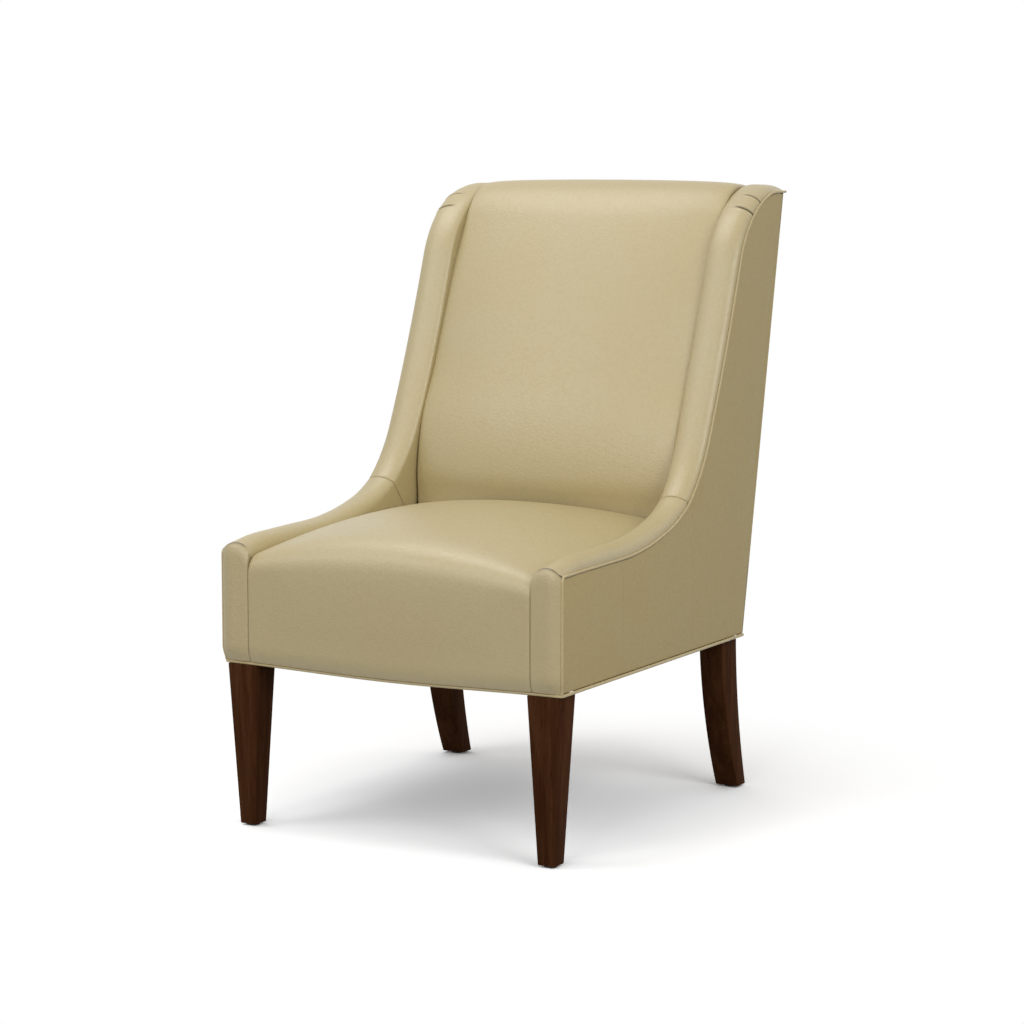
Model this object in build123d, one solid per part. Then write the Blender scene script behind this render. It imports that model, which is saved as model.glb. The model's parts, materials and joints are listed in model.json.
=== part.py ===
from build123d import *
from math import atan2, cos, radians, sin, sqrt, tan
import os

# An upholstered dining chair. Its low arms sweep up into wings beside a crowned back.
# Millimetres, +Z up, front towards -Y, origin on the floor under the middle of the chair.
# Left and right are as seen from the front, so the right side lies on +X.
# In profiles, y is measured back from the front welt line and z up from the floor.

# Outside sizes of the upholstered body
body_width = 584
base_depth = 609
leg_height = 254
arm_rise = 176
back_rake = 11.1  # degrees, outside back from the vertical

# The outer edge line of arm and wing, from the front corner to the top. It turns most at the seam
corner_radius = 8
arm_slope = 1  # degrees
rise_radius = 560
rise_turn = 16.5  # degrees
bend_radius = 239
bend_turn_to_seam = 16  # degrees
seam_bend_radius = 60
seam_bend_turn = 8  # degrees
bend_turn_past_seam = 16.9  # degrees
wing_radius = 822
wing_turn = 18.1  # degrees
shoulder_radius = 317
shoulder_turn = 36.8  # degrees
tip_radius = 32
tip_run = 63

# Leather and its seams
skin = 1.5
clearance = 0.3
edge_welt_radius = 2
edge_welt_stand = 0.6
bottom_welt_radius = 2.4
bottom_welt_corner = 6
welt_sides = 8
side_seam_front = 187
side_seam_lag = 8
overrun = 40

# The padded roll of arm and wing
arm_width = 51
band_crown = 11
roll_radius = 20
band_drop = 28
band_end_inset = 1.2
pad_edge_inset = 5

# The padded front: how far it stands forward, and how it draws in to the bottom welt
front_crown = 10
front_round = 22
draw_in = 9
draw_in_height = 27

# Seat cushion at the middle line and beside the arms: heights above the leg tops, and places
seat_crest_rise_middle = 231
seat_crest_rise_side = 199
seat_rear_rise = 219
seat_front_rise_middle = 212
seat_front_rise_side = 182
seat_nose_middle = 54
seat_nose_side = 50
seat_nose_depth = 52
lumbar_depth = 58
rear_crown = 27

# Inside back: depth of the cushion in front of the posts at three heights, and its top
inner_rake = 22.5  # degrees, posts from the vertical
waist_depth_middle = 82
waist_depth_side = 64
chest_depth_middle = 83
chest_depth_side = 61
neck_depth_middle = 70
neck_depth_side = 54
back_crown_middle = 17
back_crown_side = 7
back_tuck = 45
rear_top_middle = 8
rear_top_side = 1
back_top_middle_run = 55
back_top_side_run = 38
waist_share = 0.22
chest_share = 0.46
upper_share = 0.70
neck_share = 0.92

# How the crowns fall off from the middle line, at shares of the way out to the arms
station_shares = (0, 0.4, 0.68, 0.87, 0.965, 1)
crown_shares = (1, 0.955, 0.81, 0.55, 0.26, 0)

# Wooden frame
board_thickness = 18
rail_thickness = 30
rail_height = 86
stump_depth = 60
post_depth = 32
top_beam_depth = 48
top_beam_height = 58
lower_rail_height = 55
lower_rail_raise = 85
back_board_thickness = 3
corner_block_leg = 62
corner_block_height = 40
corner_block_raise = 24
corner_block_nose = 10

# Legs and what holds them
front_leg_top = 52
front_leg_foot = 28.6
front_leg_side_inset = 4.5
front_leg_front_stand = 2
leg_edge = 1.5
rear_leg_width = 40
rear_leg_side_inset = 12
rear_leg_top_depth = 55
rear_leg_foot_depth = 29
rear_leg_rear_inset = 1
rear_leg_kick = 41
rear_leg_front_bow = 12
rear_leg_rear_bow = 8.5
glide_radius = 10
glide_height = 3
bolt_radius = 4
bolt_length = 76
insert_radius = 6
insert_length = 18
fit_gap = 0.1

# Suspension
spring_count = 5
spring_spacing = 80
spring_width = 52
spring_wire_radius = 1.7
spring_arch = 22
spring_bars = 17
turn_chords = 2
wire_sides = 4
clip_width = 13
clip_thickness = 1.2
burlap_thickness = 1
web_width = 50
web_thickness = 1.2
web_rows = 5
web_columns = 4
dust_cover_thickness = 1
dust_cover_inset = 8

# Places that follow from the sizes
half_width = body_width / 2
board_outer = half_width - skin
board_inner = board_outer - board_thickness
seat_half = half_width - arm_width
core_inner = seat_half + skin
rail_base = leg_height
rail_top = leg_height + rail_height
panel_base = leg_height + 2 * bottom_welt_radius + 2 * clearance
pad_gap = skin + clearance
arm_height = leg_height + arm_rise
seat_top_middle = leg_height + seat_crest_rise_middle
seat_top_side = leg_height + seat_crest_rise_side
seat_rear_middle = leg_height + seat_rear_rise
seat_front_middle = leg_height + seat_front_rise_middle
seat_front_side = leg_height + seat_front_rise_side
bend_turn = bend_turn_to_seam + seam_bend_turn + bend_turn_past_seam
tip_turn = arm_slope + rise_turn + bend_turn + wing_turn - shoulder_turn


def rear_y(z):
    """The outside back's place at height z."""
    return base_depth + (z - leg_height) * tan(radians(back_rake))


# The edge line is kept as runs: a length with no turn, or a radius with a turn to the left
arm_arcs = [
    (rise_radius, rise_turn),
    (bend_radius, bend_turn_to_seam),
    (seam_bend_radius, seam_bend_turn / 2),
]
wing_arcs = [
    (seam_bend_radius, seam_bend_turn / 2),
    (bend_radius, bend_turn_past_seam),
    (wing_radius, wing_turn),
    (shoulder_radius, -shoulder_turn),
    (tip_radius, -tip_turn),
]


def trace(start, heading, runs, offset=0):
    """Each run's ends, with an arc's middle between them, moved by offset to the left of the way."""
    y, z = start
    traced = []
    for size, turn in runs:
        a = radians(heading)
        if turn == 0:
            angles = [a, a]
            places = [(y, z), (y + size * cos(a), z + size * sin(a))]
        else:
            side = 1 if turn > 0 else -1
            centre_y, centre_z = y - side * size * sin(a), z + side * size * cos(a)
            angles = [a, a + radians(turn) / 2, a + radians(turn)]
            places = [(centre_y + side * size * sin(b), centre_z - side * size * cos(b)) for b in angles]
        traced.append([(p - offset * sin(b), q + offset * cos(b)) for (p, q), b in zip(places, angles)])
        y, z = places[-1]
        heading += turn
    return traced, (y, z), heading


# The arm's straight run takes up whatever depth the curved stretches and the tip leave
_, arc_end, _ = trace((0, arm_height), arm_slope, arm_arcs + wing_arcs)
arm_run = (rear_y(arc_end[1]) - tip_run - arc_end[0]) / cos(radians(arm_slope))
edge_top = arc_end[1] + arm_run * sin(radians(arm_slope))
arm_runs = [(arm_run, 0)] + arm_arcs
_, seam_point, seam_heading = trace((0, arm_height), arm_slope, arm_runs)
wing_runs = wing_arcs + [(tip_run + overrun, 0)]

corner_turn = 90 - arm_slope
corner_tangent = corner_radius * tan(radians(corner_turn) / 2)
outline_runs = [
    (arm_height - corner_tangent - panel_base, 0),
    (corner_radius, -corner_turn),
    (arm_run - corner_tangent, 0),
] + arm_arcs + wing_runs

# The chair's box runs from the padded front to the crowned top corners of the outside back
box_depth = front_crown + rear_y(edge_top + band_crown)
front_line = front_crown - box_depth / 2


def at(y, z, x=0):
    """A point of the chair from its profile place."""
    return Vector(x, front_line + y, z)


def edges_of(traced, x=0):
    """Lines and arcs along traced runs."""
    runs = [[at(y, z, x) for y, z in run] for run in traced]
    return [ThreePointArc(*points) if len(points) == 3 else Line(*points) for points in runs]


def block(x0, x1, y0, y1, z0, z1):
    """A squared block between two corners."""
    low, high = at(y0, z0, x0), at(y1, z1, x1)
    size = high - low
    return Pos(*((low + high) / 2)) * Box(size.X, size.Y, size.Z)


def slab(points, x0, x1):
    """A flat piece cut to a polygon in profile, between two widths."""
    face = make_face(Polyline(*[at(y, z, x0) for y, z in points], close=True))
    return extrude(face, amount=x1 - x0, dir=(1, 0, 0))


def behind(inset):
    """All the space behind the outside back's plane, moved forward by inset."""
    low, high = -overrun, edge_top + 2 * overrun
    shift = inset / cos(radians(back_rake))
    reach = base_depth
    points = [(rear_y(low) - shift, low), (rear_y(high) - shift, high),
              (rear_y(high) + reach, high), (rear_y(low) + reach, low)]
    return slab(points, -half_width - overrun, half_width + overrun)


def both(name, shape, pieces):
    """Adds a right-hand piece and its mirror image."""
    pieces[name + "_right"] = shape
    pieces[name + "_left"] = mirror(shape, Plane.YZ)


# The padded roll's section: x from the middle of the chair, height above the edge line
crown_x = seat_half + roll_radius
crown_inset = half_width - crown_x
crown_arc_radius = (crown_inset ** 2 + band_crown ** 2) / (2 * band_crown)
crown_arc_centre = band_crown - crown_arc_radius
band_end_angle = atan2(sqrt(crown_arc_radius ** 2 - (crown_inset - band_end_inset) ** 2),
                       crown_inset - band_end_inset)
welt_drop = edge_welt_radius + clearance - (
    crown_arc_centre + (crown_arc_radius - skin) * sin(band_end_angle))
edge_drop = welt_drop + edge_welt_radius + clearance
welt_x = half_width - edge_welt_radius + edge_welt_stand


def crown_point(inset, angle):
    """A point of the crown's arc, inset below the leather's outer face."""
    r = crown_arc_radius - inset
    return Vector(crown_x + r * cos(angle), crown_arc_centre + r * sin(angle))


def roll_points(inset):
    """Crown, half turn and side of the roll's inner edge, inset below the outer face."""
    r = roll_radius - inset
    centre_v = band_crown - roll_radius
    return [Vector(crown_x - r * sin(b), centre_v + r * cos(b)) for b in (0, radians(45), radians(90))]


def roll_outline(inset, end_angle):
    """The roll's outside from its outer end over the crown to the foot of its inner side."""
    half = (end_angle + radians(90)) / 2
    crown, middle, side = roll_points(inset)
    return [
        ThreePointArc(crown_point(inset, end_angle), crown_point(inset, half), crown),
        ThreePointArc(crown, middle, side),
        Line(side, Vector(side.X, -band_drop)),
    ]


def band_section():
    """The leather over the roll."""
    outer = roll_outline(0, band_end_angle)
    inner = roll_outline(skin, band_end_angle)
    ends = [Line(outer[-1] @ 1, inner[-1] @ 1), Line(outer[0] @ 0, inner[0] @ 0)]
    return make_face(outer + inner + ends)


def pad_section():
    """The foam under it, cut with flats, which sits over the side board's edge."""
    edge_x = half_width - pad_edge_inset
    r = crown_arc_radius - pad_gap
    end_angle = atan2(sqrt(r ** 2 - (edge_x - crown_x) ** 2), edge_x - crown_x)
    half = (end_angle + radians(90)) / 2
    roll = roll_points(pad_gap)
    foot = clearance - edge_drop
    corners = [crown_point(pad_gap, end_angle), crown_point(pad_gap, half), *roll,
               Vector(roll[-1].X, -band_drop), Vector(board_inner, -band_drop),
               Vector(board_inner, foot), Vector(edge_x, foot)]
    return make_face(Polyline(*corners, close=True))


def swept(section, start, heading, runs):
    """A section carried along the edge line, square to it."""
    a = radians(heading)
    plane = Plane(origin=at(*start), x_dir=(1, 0, 0), z_dir=(0, -cos(a), -sin(a)))
    traced, _, _ = trace(start, heading, runs)
    return sweep(plane * section, path=Wire(edges_of(traced)))


def side_profile(drop, thickness, x0):
    """The whole side's flat form, its edge line moved in by drop."""
    traced, _, _ = trace((0, panel_base), 90, outline_runs, -drop)
    last, first = traced[-1][-1], traced[0][0]
    closing = Polyline(at(*last, x0), at(last[0], panel_base, x0), at(*first, x0))
    face = make_face(edges_of(traced, x0) + closing.edges())
    return extrude(face, amount=thickness, dir=(1, 0, 0))


pieces = {}

# Side boards and the leather on them, sewn from three panels
rear_skins = skin + back_board_thickness
board_top = edge_top - edge_drop
under_board_top = block(-board_outer, board_outer, 0, base_depth + edge_top, 0, board_top + clearance)
both("side_board", side_profile(edge_drop, board_thickness, board_inner) - behind(rear_skins), pieces)

side_leather = side_profile(edge_drop, skin, board_outer) - behind(skin)
side_seam_rear = seam_point[0] + side_seam_lag
high = edge_top + overrun
for name, y0, y1 in [
    ("outer_side_front", -overrun, side_seam_front),
    ("outer_side_middle", side_seam_front, side_seam_rear),
    ("outer_side_rear", side_seam_rear, base_depth + edge_top),
]:
    both(name, side_leather & block(board_inner, half_width + overrun, y0, y1, 0, high), pieces)

# Padding and leather of the arm and wing rolls
both("arm_pad", swept(pad_section(), (0, arm_height), arm_slope, arm_runs), pieces)
both("arm_band", swept(band_section(), (0, arm_height), arm_slope, arm_runs), pieces)
both("wing_pad", swept(pad_section(), seam_point, seam_heading, wing_runs) - behind(rear_skins), pieces)
wing_band = swept(band_section(), seam_point, seam_heading, wing_runs) - behind(skin)
both("wing_band", wing_band - (behind(rear_skins) & under_board_top), pieces)

# Edge welt, up the front corner and along arm and wing
welt_trace, _, _ = trace((0, panel_base), 90, outline_runs, -welt_drop)
welt_start = welt_trace[0][0]
welt_plane = Plane(origin=at(*welt_start, welt_x), x_dir=(1, 0, 0), z_dir=(0, 0, 1))
welt_path = Wire(edges_of(welt_trace, welt_x))
welt = sweep(welt_plane * RegularPolygon(edge_welt_radius, welt_sides), path=welt_path)
both("edge_welt", welt - behind(skin), pieces)


def draw_arc(inset, base, x=0):
    """The front's lowest stretch, which curves in to the bottom welt."""
    radius = (draw_in ** 2 + draw_in_height ** 2) / (2 * draw_in)
    centre = (radius - front_crown, panel_base + draw_in_height)
    whole = atan2(draw_in_height, radius - draw_in)
    r = radius - inset
    turns = (whole, whole / 2, 0)
    foot, middle, top = [(centre[0] - r * cos(b), centre[1] - r * sin(b)) for b in turns]
    lines = []
    if foot[1] > base:
        lines.append(Line(at(foot[0], base, x), at(*foot, x)))
    lines.append(ThreePointArc(at(*foot, x), at(*middle, x), at(*top, x)))
    return lines


def quarter(start, end, x):
    """A rounded corner that leaves start upright and reaches end level."""
    middle = (start[0] + (end[0] - start[0]) * (1 - cos(radians(45))),
              start[1] + (end[1] - start[1]) * sin(radians(45)))
    return ThreePointArc(at(*start, x), at(*middle, x), at(*end, x))


def level_arc(side, top, x):
    """An arc from side to top that is level at the top."""
    dy, dz = top[0] - side[0], top[1] - side[1]
    radius = (dy ** 2 + dz ** 2) / (2 * dz)
    half = atan2(dy, radius - dz) / 2
    middle = (top[0] - radius * sin(half), top[1] - radius + radius * cos(half))
    return ThreePointArc(at(*side, x), at(*middle, x), at(*top, x))


# Front panels: an arch-topped pad that rounds back to the corner welt, the arch and the bottom welt
front_radius = (crown_inset ** 2 + front_crown ** 2) / (2 * front_crown)


def front_form(inset, end_inset, back, base):
    """The padded front of an arm, inset below the leather's outer face."""
    front = inset - front_crown
    inner_x = seat_half + inset
    r = front_radius - inset
    centre_y = front_radius - front_crown
    end_x = half_width - end_inset
    end_angle = atan2(sqrt(r ** 2 - (end_x - crown_x) ** 2), end_x - crown_x)
    half = (end_angle + radians(90)) / 2
    end_y = centre_y - r * sin(end_angle)
    inner_back, inner_front = Vector(inner_x, back), Vector(inner_x, front)
    crown, outer_front = Vector(crown_x, front), Vector(end_x, end_y)
    middle = Vector(crown_x + r * cos(half), centre_y - r * sin(half))
    outer_back = Vector(end_x, back)
    plan = [Line(inner_back, inner_front), Line(inner_front, crown),
            ThreePointArc(crown, middle, outer_front), Line(outer_front, outer_back),
            Line(outer_back, inner_back)]
    ground = Plane(origin=(0, front_line, 0))
    upright = extrude(ground * make_face(plan), amount=arm_height + overrun)
    arch = roll_outline(inset, band_end_angle)
    foot, outer_end = arch[-1] @ 1, arch[0] @ 0
    low_inner, low_outer = Vector(foot.X, -arm_height), Vector(outer_end.X, -arm_height)
    arch += [Line(foot, low_inner), Line(low_inner, low_outer), Line(low_outer, outer_end)]
    face_on = Plane(origin=(0, front_line + back, arm_height), x_dir=(1, 0, 0), z_dir=(0, -1, 0))
    arched = extrude(face_on * make_face(arch), amount=front_crown + back)
    crest = arm_height + band_crown - inset
    drawn = draw_arc(inset, base)
    shoulder, rim = (front, crest - front_round), (-clearance, crest)
    profile = drawn + [Line(drawn[-1] @ 1, at(*shoulder)), quarter(shoulder, rim, 0)]
    if back > -clearance:
        profile.append(Line(at(*rim), at(back, crest)))
    profile += [Line(at(back, crest), at(back, base)), Line(at(back, base), drawn[0] @ 0)]
    side_on = extrude(make_face(profile), amount=half_width, dir=(1, 0, 0))
    return upright & arched & side_on


front_shell = front_form(0, band_end_inset, -clearance, panel_base)
front_hollow = front_form(skin, band_end_inset + skin, overrun, panel_base - overrun)
both("front_panel", front_shell - front_hollow, pieces)
front_pad = front_form(pad_gap, pad_edge_inset, edge_drop, panel_base)
roll_foot = arm_height - band_drop - clearance
both("front_pad", front_pad - block(0, half_width, -clearance, overrun, roll_foot, high), pieces)

# Heights that the frame, the suspension and the cushions share
clip_height = 2 * clip_thickness + 2 * spring_wire_radius + 2 * clearance
burlap_seat = rail_top + clip_height + clearance
cushion_base = burlap_seat + burlap_thickness + clearance
beam_top = edge_top - band_drop - clearance
beam_base = beam_top - top_beam_height
front_rail_rear = edge_drop + rail_thickness
rear_leg_front = base_depth - rear_leg_rear_inset - rear_leg_top_depth
rear_rail_middle = rear_leg_front + rear_leg_top_depth / 2
rear_rail_front = rear_rail_middle - rail_thickness / 2
rear_rail_rear = rear_rail_middle + rail_thickness / 2
web_step = web_thickness / cos(radians(inner_rake))


def post_y(z):
    """The front of the posts that carry the inside back, at height z."""
    front_at_beam_top = rear_y(beam_top) - rear_skins - top_beam_depth
    return front_at_beam_top - (beam_top - z) * tan(radians(inner_rake))


def arch_z(y):
    """The springs' rise above their ends, an arc from the front rail to the rear rail."""
    front, rear = edge_drop + rail_thickness / 2, rear_rail_middle
    half_span, middle = (rear - front) / 2, (rear + front) / 2
    radius = (half_span ** 2 + spring_arch ** 2) / (2 * spring_arch)
    return sqrt(radius ** 2 - (y - middle) ** 2) - radius + spring_arch


def arched_line(y0, y1, height, x):
    """An arc above the springs, at a height over the springs' own ends."""
    points = [(y, height + arch_z(y)) for y in (y0, (y0 + y1) / 2, y1)]
    return ThreePointArc(*[at(y, z, x) for y, z in points])


def mix(middle, side, share):
    """A size between its value at the middle line and its value beside the arms."""
    return side + (middle - side) * share


seat_rear = post_y(seat_rear_middle) - lumbar_depth


def seat_profile(x, share, inset, reach):
    """The seat cushion cut at a width x, inset below the leather, its open side reaching down."""
    front = inset - front_crown
    nose_top = mix(seat_front_middle, seat_front_side, share) - inset
    nose_rear = mix(seat_nose_middle, seat_nose_side, share)
    rear = seat_rear + rear_crown * (1 - share) - inset
    rear_top = mix(seat_rear_middle, seat_top_side, share) - inset
    crest = ((nose_rear + rear) / 2, mix(seat_top_middle, seat_top_side, share) - inset)
    low = panel_base - reach
    drawn = draw_arc(inset, low, x)
    nose_foot = (front, nose_top + inset - seat_nose_depth)
    lines = drawn + [
        Line(drawn[-1] @ 1, at(*nose_foot, x)),
        quarter(nose_foot, (nose_rear, nose_top), x),
        ThreePointArc(at(nose_rear, nose_top, x), at(*crest, x), at(rear, rear_top, x)),
    ]
    if reach:
        corners = [(rear, rear_top), (rear, low)]
    else:
        lines.append(arched_line(rear, edge_drop, cushion_base, x))
        lines.append(Line(at(rear, rear_top, x), lines[-1] @ 0))
        corners = [(edge_drop, cushion_base + arch_z(edge_drop)), (edge_drop, low)]
    ends = [at(*corner, x) for corner in corners] + [drawn[0] @ 0]
    lines += [Line(a, b) for a, b in zip(ends, ends[1:])]
    return make_face(lines)


back_rise = edge_top - seat_rear_middle


def back_profile(x, share, inset, reach):
    """The back cushion cut at a width x, inset below the leather, its open side reaching back."""
    def face(height_share, middle, side):
        z = seat_rear_middle + back_rise * height_share
        return (post_y(z) - mix(middle, side, share) + inset, z)

    front = seat_rear + rear_crown * (1 - share) + clearance + inset
    seat_line = (front, seat_rear_middle)
    waist = face(waist_share, waist_depth_middle, waist_depth_side)
    chest = face(chest_share, chest_depth_middle, chest_depth_side)
    upper = face(upper_share, (chest_depth_middle + neck_depth_middle) / 2,
                 (chest_depth_side + neck_depth_side) / 2)
    neck = face(neck_share, neck_depth_middle, neck_depth_side)
    top_z = edge_top + mix(back_crown_middle, back_crown_side, share) - inset
    top = (rear_y(edge_top) - mix(back_top_middle_run, back_top_side_run, share), top_z)
    rear_z = edge_top + mix(rear_top_middle, rear_top_side, share) - inset
    rear = (rear_y(rear_z) - skin + reach, rear_z)
    tuck = seat_rear_middle - back_tuck - reach
    foot = (rear_y(tuck) - skin + reach, tuck)
    lines = [
        Line(at(front, tuck, x), at(*seat_line, x)),
        ThreePointArc(at(*seat_line, x), at(*waist, x), at(*chest, x)),
        ThreePointArc(at(*chest, x), at(*upper, x), at(*neck, x)),
        level_arc(neck, top, x),
        level_arc(rear, top, x),
        Line(at(*rear, x), at(*foot, x)),
        Line(at(*foot, x), at(front, tuck, x)),
    ]
    return make_face(lines)


def crowned(profile, inset, reach):
    """A cushion lofted through its profiles from arm to arm."""
    half = seat_half - inset
    stations = [(-s * half, c) for s, c in zip(station_shares, crown_shares)][:0:-1]
    stations += [(s * half, c) for s, c in zip(station_shares, crown_shares)]
    return loft([profile(x, c, inset, reach) for x, c in stations], ruled=True)


# Seat cushion: leather, foam on the springs, and the padding in front of the rail
seat_inner = crowned(seat_profile, pad_gap, 0)
pieces["seat_cover"] = crowned(seat_profile, 0, 0) - crowned(seat_profile, skin, overrun)
apron = block(-half_width, half_width, -overrun, edge_drop, 0, rail_top)
pieces["front_rail_padding"] = seat_inner & apron
rail_space = block(-half_width, half_width, -overrun, overrun, 0, rail_top + clearance)
pieces["seat_foam"] = seat_inner - rail_space

# Inside back: leather and foam, which lies on the webbing and laps over the top beam
hollow_top = beam_top + clearance
hollow_low = seat_rear_middle - back_tuck - overrun
hollow_front = 2 * web_step + clearance
back_hollow = slab(
    [(post_y(hollow_low) - hollow_front, hollow_low), (post_y(hollow_top) - hollow_front, hollow_top),
     (rear_y(hollow_top) + overrun, hollow_top), (rear_y(hollow_low) + overrun, hollow_low)],
    -half_width, half_width,
)
back_shell = crowned(back_profile, 0, 0) - crowned(back_profile, skin, overrun)
pieces["back_cover"] = back_shell - back_hollow - behind(skin) - (behind(rear_skins) & under_board_top)
pieces["back_foam"] = crowned(back_profile, pad_gap, 0) - back_hollow - behind(rear_skins)

# Outside back: leather cut to the outline of wings and back, over a stiff board
roll_top, roll_middle, _ = roll_points(0)
half_angle = (atan2(-crown_arc_centre, crown_inset) + radians(90)) / 2
right_side = [
    Line(Vector(half_width, panel_base - edge_top), Vector(half_width, 0)),
    ThreePointArc(Vector(half_width, 0), crown_point(0, half_angle), roll_top),
    Line(roll_top, roll_middle),
    Line(roll_middle, Vector(seat_half, rear_top_side)),
]
left_side = [mirror(line, Plane.YZ) for line in right_side]
across = [
    ThreePointArc(Vector(seat_half, rear_top_side), Vector(0, rear_top_middle),
                  Vector(-seat_half, rear_top_side)),
    Line(right_side[0] @ 0, left_side[0] @ 0),
]
upright_plane = Plane(origin=(0, front_line, edge_top), x_dir=(1, 0, 0), z_dir=(0, -1, 0))
outline = extrude(upright_plane * make_face(right_side + left_side + across), amount=-base_depth - edge_top)
pieces["outside_back"] = (outline & behind(skin)) - behind(0)
stiff = block(-board_outer, board_outer, 0, base_depth + edge_top, panel_base, board_top)
pieces["outside_back_board"] = (stiff & behind(rear_skins)) - behind(skin)

# Bottom welt, one cord round the whole base
welt_z = leg_height + bottom_welt_radius + clearance
ring_width = body_width - 2 * bottom_welt_radius
ring_depth = base_depth - 2 * bottom_welt_radius
ring_shape = RectangleRounded(ring_width, ring_depth, bottom_welt_corner)
ring_path = (Pos(0, front_line + base_depth / 2, welt_z) * ring_shape).wire()
ring_plane = Plane(origin=ring_path @ 0, z_dir=ring_path % 0)
pieces["bottom_welt"] = sweep(ring_plane * RegularPolygon(bottom_welt_radius, welt_sides), path=ring_path)

# Seat rails, front stumps, arm rails and the posts, beam and rail of the inside back
front_rail = block(-board_inner, board_inner, edge_drop, front_rail_rear, rail_base, rail_top)
rear_rail = block(-board_inner, board_inner, rear_rail_front, rear_rail_rear, rail_base, rail_top)
side_rail = block(core_inner, board_inner, front_rail_rear, rear_rail_front, rail_base, rail_top)
stump_rear = edge_drop + stump_depth
both("front_stump", block(core_inner, board_inner, edge_drop, stump_rear, rail_top, roll_foot), pieces)

post_deep = post_depth / cos(radians(inner_rake))
post = slab([(post_y(rail_top), rail_top), (post_y(beam_base), beam_base),
             (post_y(beam_base) + post_deep, beam_base), (post_y(rail_top) + post_deep, rail_top)],
            core_inner, board_inner)
both("back_post", post, pieces)

under_roll, _, _ = trace((0, arm_height), arm_slope, arm_runs + wing_arcs, -band_drop - clearance)


def under_the_roll(x0, x1, front, gap):
    """A flat piece below the padded roll, from front back to the posts' plane less a gap."""
    last, first = under_roll[-1][-1], under_roll[0][0]
    closing = Polyline(at(*last, x0), at(last[0], rail_top, x0), at(first[0], rail_top, x0), at(*first, x0))
    face = make_face(edges_of(under_roll, x0) + closing.edges())
    limits = [(front, rail_top), (post_y(rail_top) - gap, rail_top), (post_y(beam_top) - gap, beam_top),
              (front, beam_top)]
    return extrude(face, amount=x1 - x0, dir=(1, 0, 0)) & slab(limits, x0, x1)


arm_rail = under_the_roll(core_inner, board_inner, stump_rear, 0)
arm_rail_top = seam_point[1] - band_drop
below_seam = block(core_inner, board_inner, stump_rear, base_depth, rail_top, arm_rail_top)
both("arm_rail", arm_rail & below_seam, pieces)
both("inside_arm", under_the_roll(seat_half, core_inner, edge_drop, web_step + clearance), pieces)

top_beam = slab([(post_y(beam_base) - web_step, beam_base), (post_y(beam_top) - web_step, beam_top),
                 (rear_y(beam_top), beam_top), (rear_y(beam_base), beam_base)], -board_inner, board_inner)
pieces["back_top_beam"] = top_beam - behind(rear_skins)
lower_base = rail_top + lower_rail_raise
lower_top = lower_base + lower_rail_height
lower_rail = slab([(post_y(lower_base) - web_step, lower_base), (post_y(lower_top) - web_step, lower_top),
                   (post_y(lower_top) + post_deep, lower_top), (post_y(lower_base) + post_deep, lower_base)],
                  -core_inner, core_inner)
pieces["back_lower_rail"] = lower_rail


def web(z0, z1, layer, x0, x1):
    """A strap on the posts' plane, in the first layer or over it in the second."""
    near, far = layer * web_step, (layer + 1) * web_step
    return slab([(post_y(z0) - near, z0), (post_y(z1) - near, z1), (post_y(z1) - far, z1),
                 (post_y(z0) - far, z0)], x0, x1)


web_rise = web_width * cos(radians(inner_rake))
row_step = (beam_base - lower_top - web_rise) / web_rows
rows = [lower_top + row_step * (k + 1 / 2) for k in range(web_rows)]
strap_half = board_inner - clearance
straps = [web(z, z + web_rise, 0, -strap_half, strap_half) for z in rows]
column_step = 2 * core_inner / (web_columns + 1)
for k in range(web_columns):
    middle = column_step * (k + 1) - core_inner
    straps.append(web(lower_base, beam_top, 1, middle - web_width / 2, middle + web_width / 2))
pieces["back_webbing"] = Compound(straps)

# Legs, glides, and the bolts that screw into threaded inserts in the rails
front_leg_x = half_width - front_leg_side_inset - front_leg_top / 2
front_leg_y = front_leg_top / 2 - front_leg_front_stand
rear_leg_x = half_width - rear_leg_side_inset - rear_leg_width / 2


def drill(x, y, radius, z0, z1):
    """A round hole or rod along the height."""
    return Pos(*at(y, (z0 + z1) / 2, x)) * Cylinder(radius, z1 - z0)


bolt_hole = bolt_radius + fit_gap
bolt_low, bolt_high = leg_height - bolt_length / 2, leg_height + bolt_length / 2
leg_ends = []
for width, z in [(front_leg_foot, glide_height), (front_leg_top, leg_height)]:
    square = chamfer(Rectangle(width, width).vertices(), leg_edge)
    leg_ends.append(Pos(*at(front_leg_y, z, front_leg_x)) * square)
front_leg = loft(leg_ends, ruled=True)
front_leg -= drill(front_leg_x, front_leg_y, bolt_hole, bolt_low - clearance, leg_height + overrun)
both("front_leg", front_leg, pieces)

rear_leg_rear = rear_leg_front + rear_leg_top_depth
foot_rear = rear_leg_rear + rear_leg_kick
foot_front = foot_rear - rear_leg_foot_depth
rear_leg_middle_z = (leg_height + glide_height) / 2
leg_left = rear_leg_x - rear_leg_width / 2
sabre = [
    ThreePointArc(at(rear_leg_front, leg_height, leg_left),
                  at((rear_leg_front + foot_front) / 2 - rear_leg_front_bow, rear_leg_middle_z, leg_left),
                  at(foot_front, glide_height, leg_left)),
    Line(at(foot_front, glide_height, leg_left), at(foot_rear, glide_height, leg_left)),
    ThreePointArc(at(foot_rear, glide_height, leg_left),
                  at((rear_leg_rear + foot_rear) / 2 - rear_leg_rear_bow, rear_leg_middle_z, leg_left),
                  at(rear_leg_rear, leg_height, leg_left)),
    Line(at(rear_leg_rear, leg_height, leg_left), at(rear_leg_front, leg_height, leg_left)),
]
rear_leg = extrude(make_face(sabre), amount=rear_leg_width, dir=(1, 0, 0))
long_edges = [e for e in rear_leg.edges() if e.length > leg_height / 2]
rear_leg = chamfer(long_edges, leg_edge)
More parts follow.
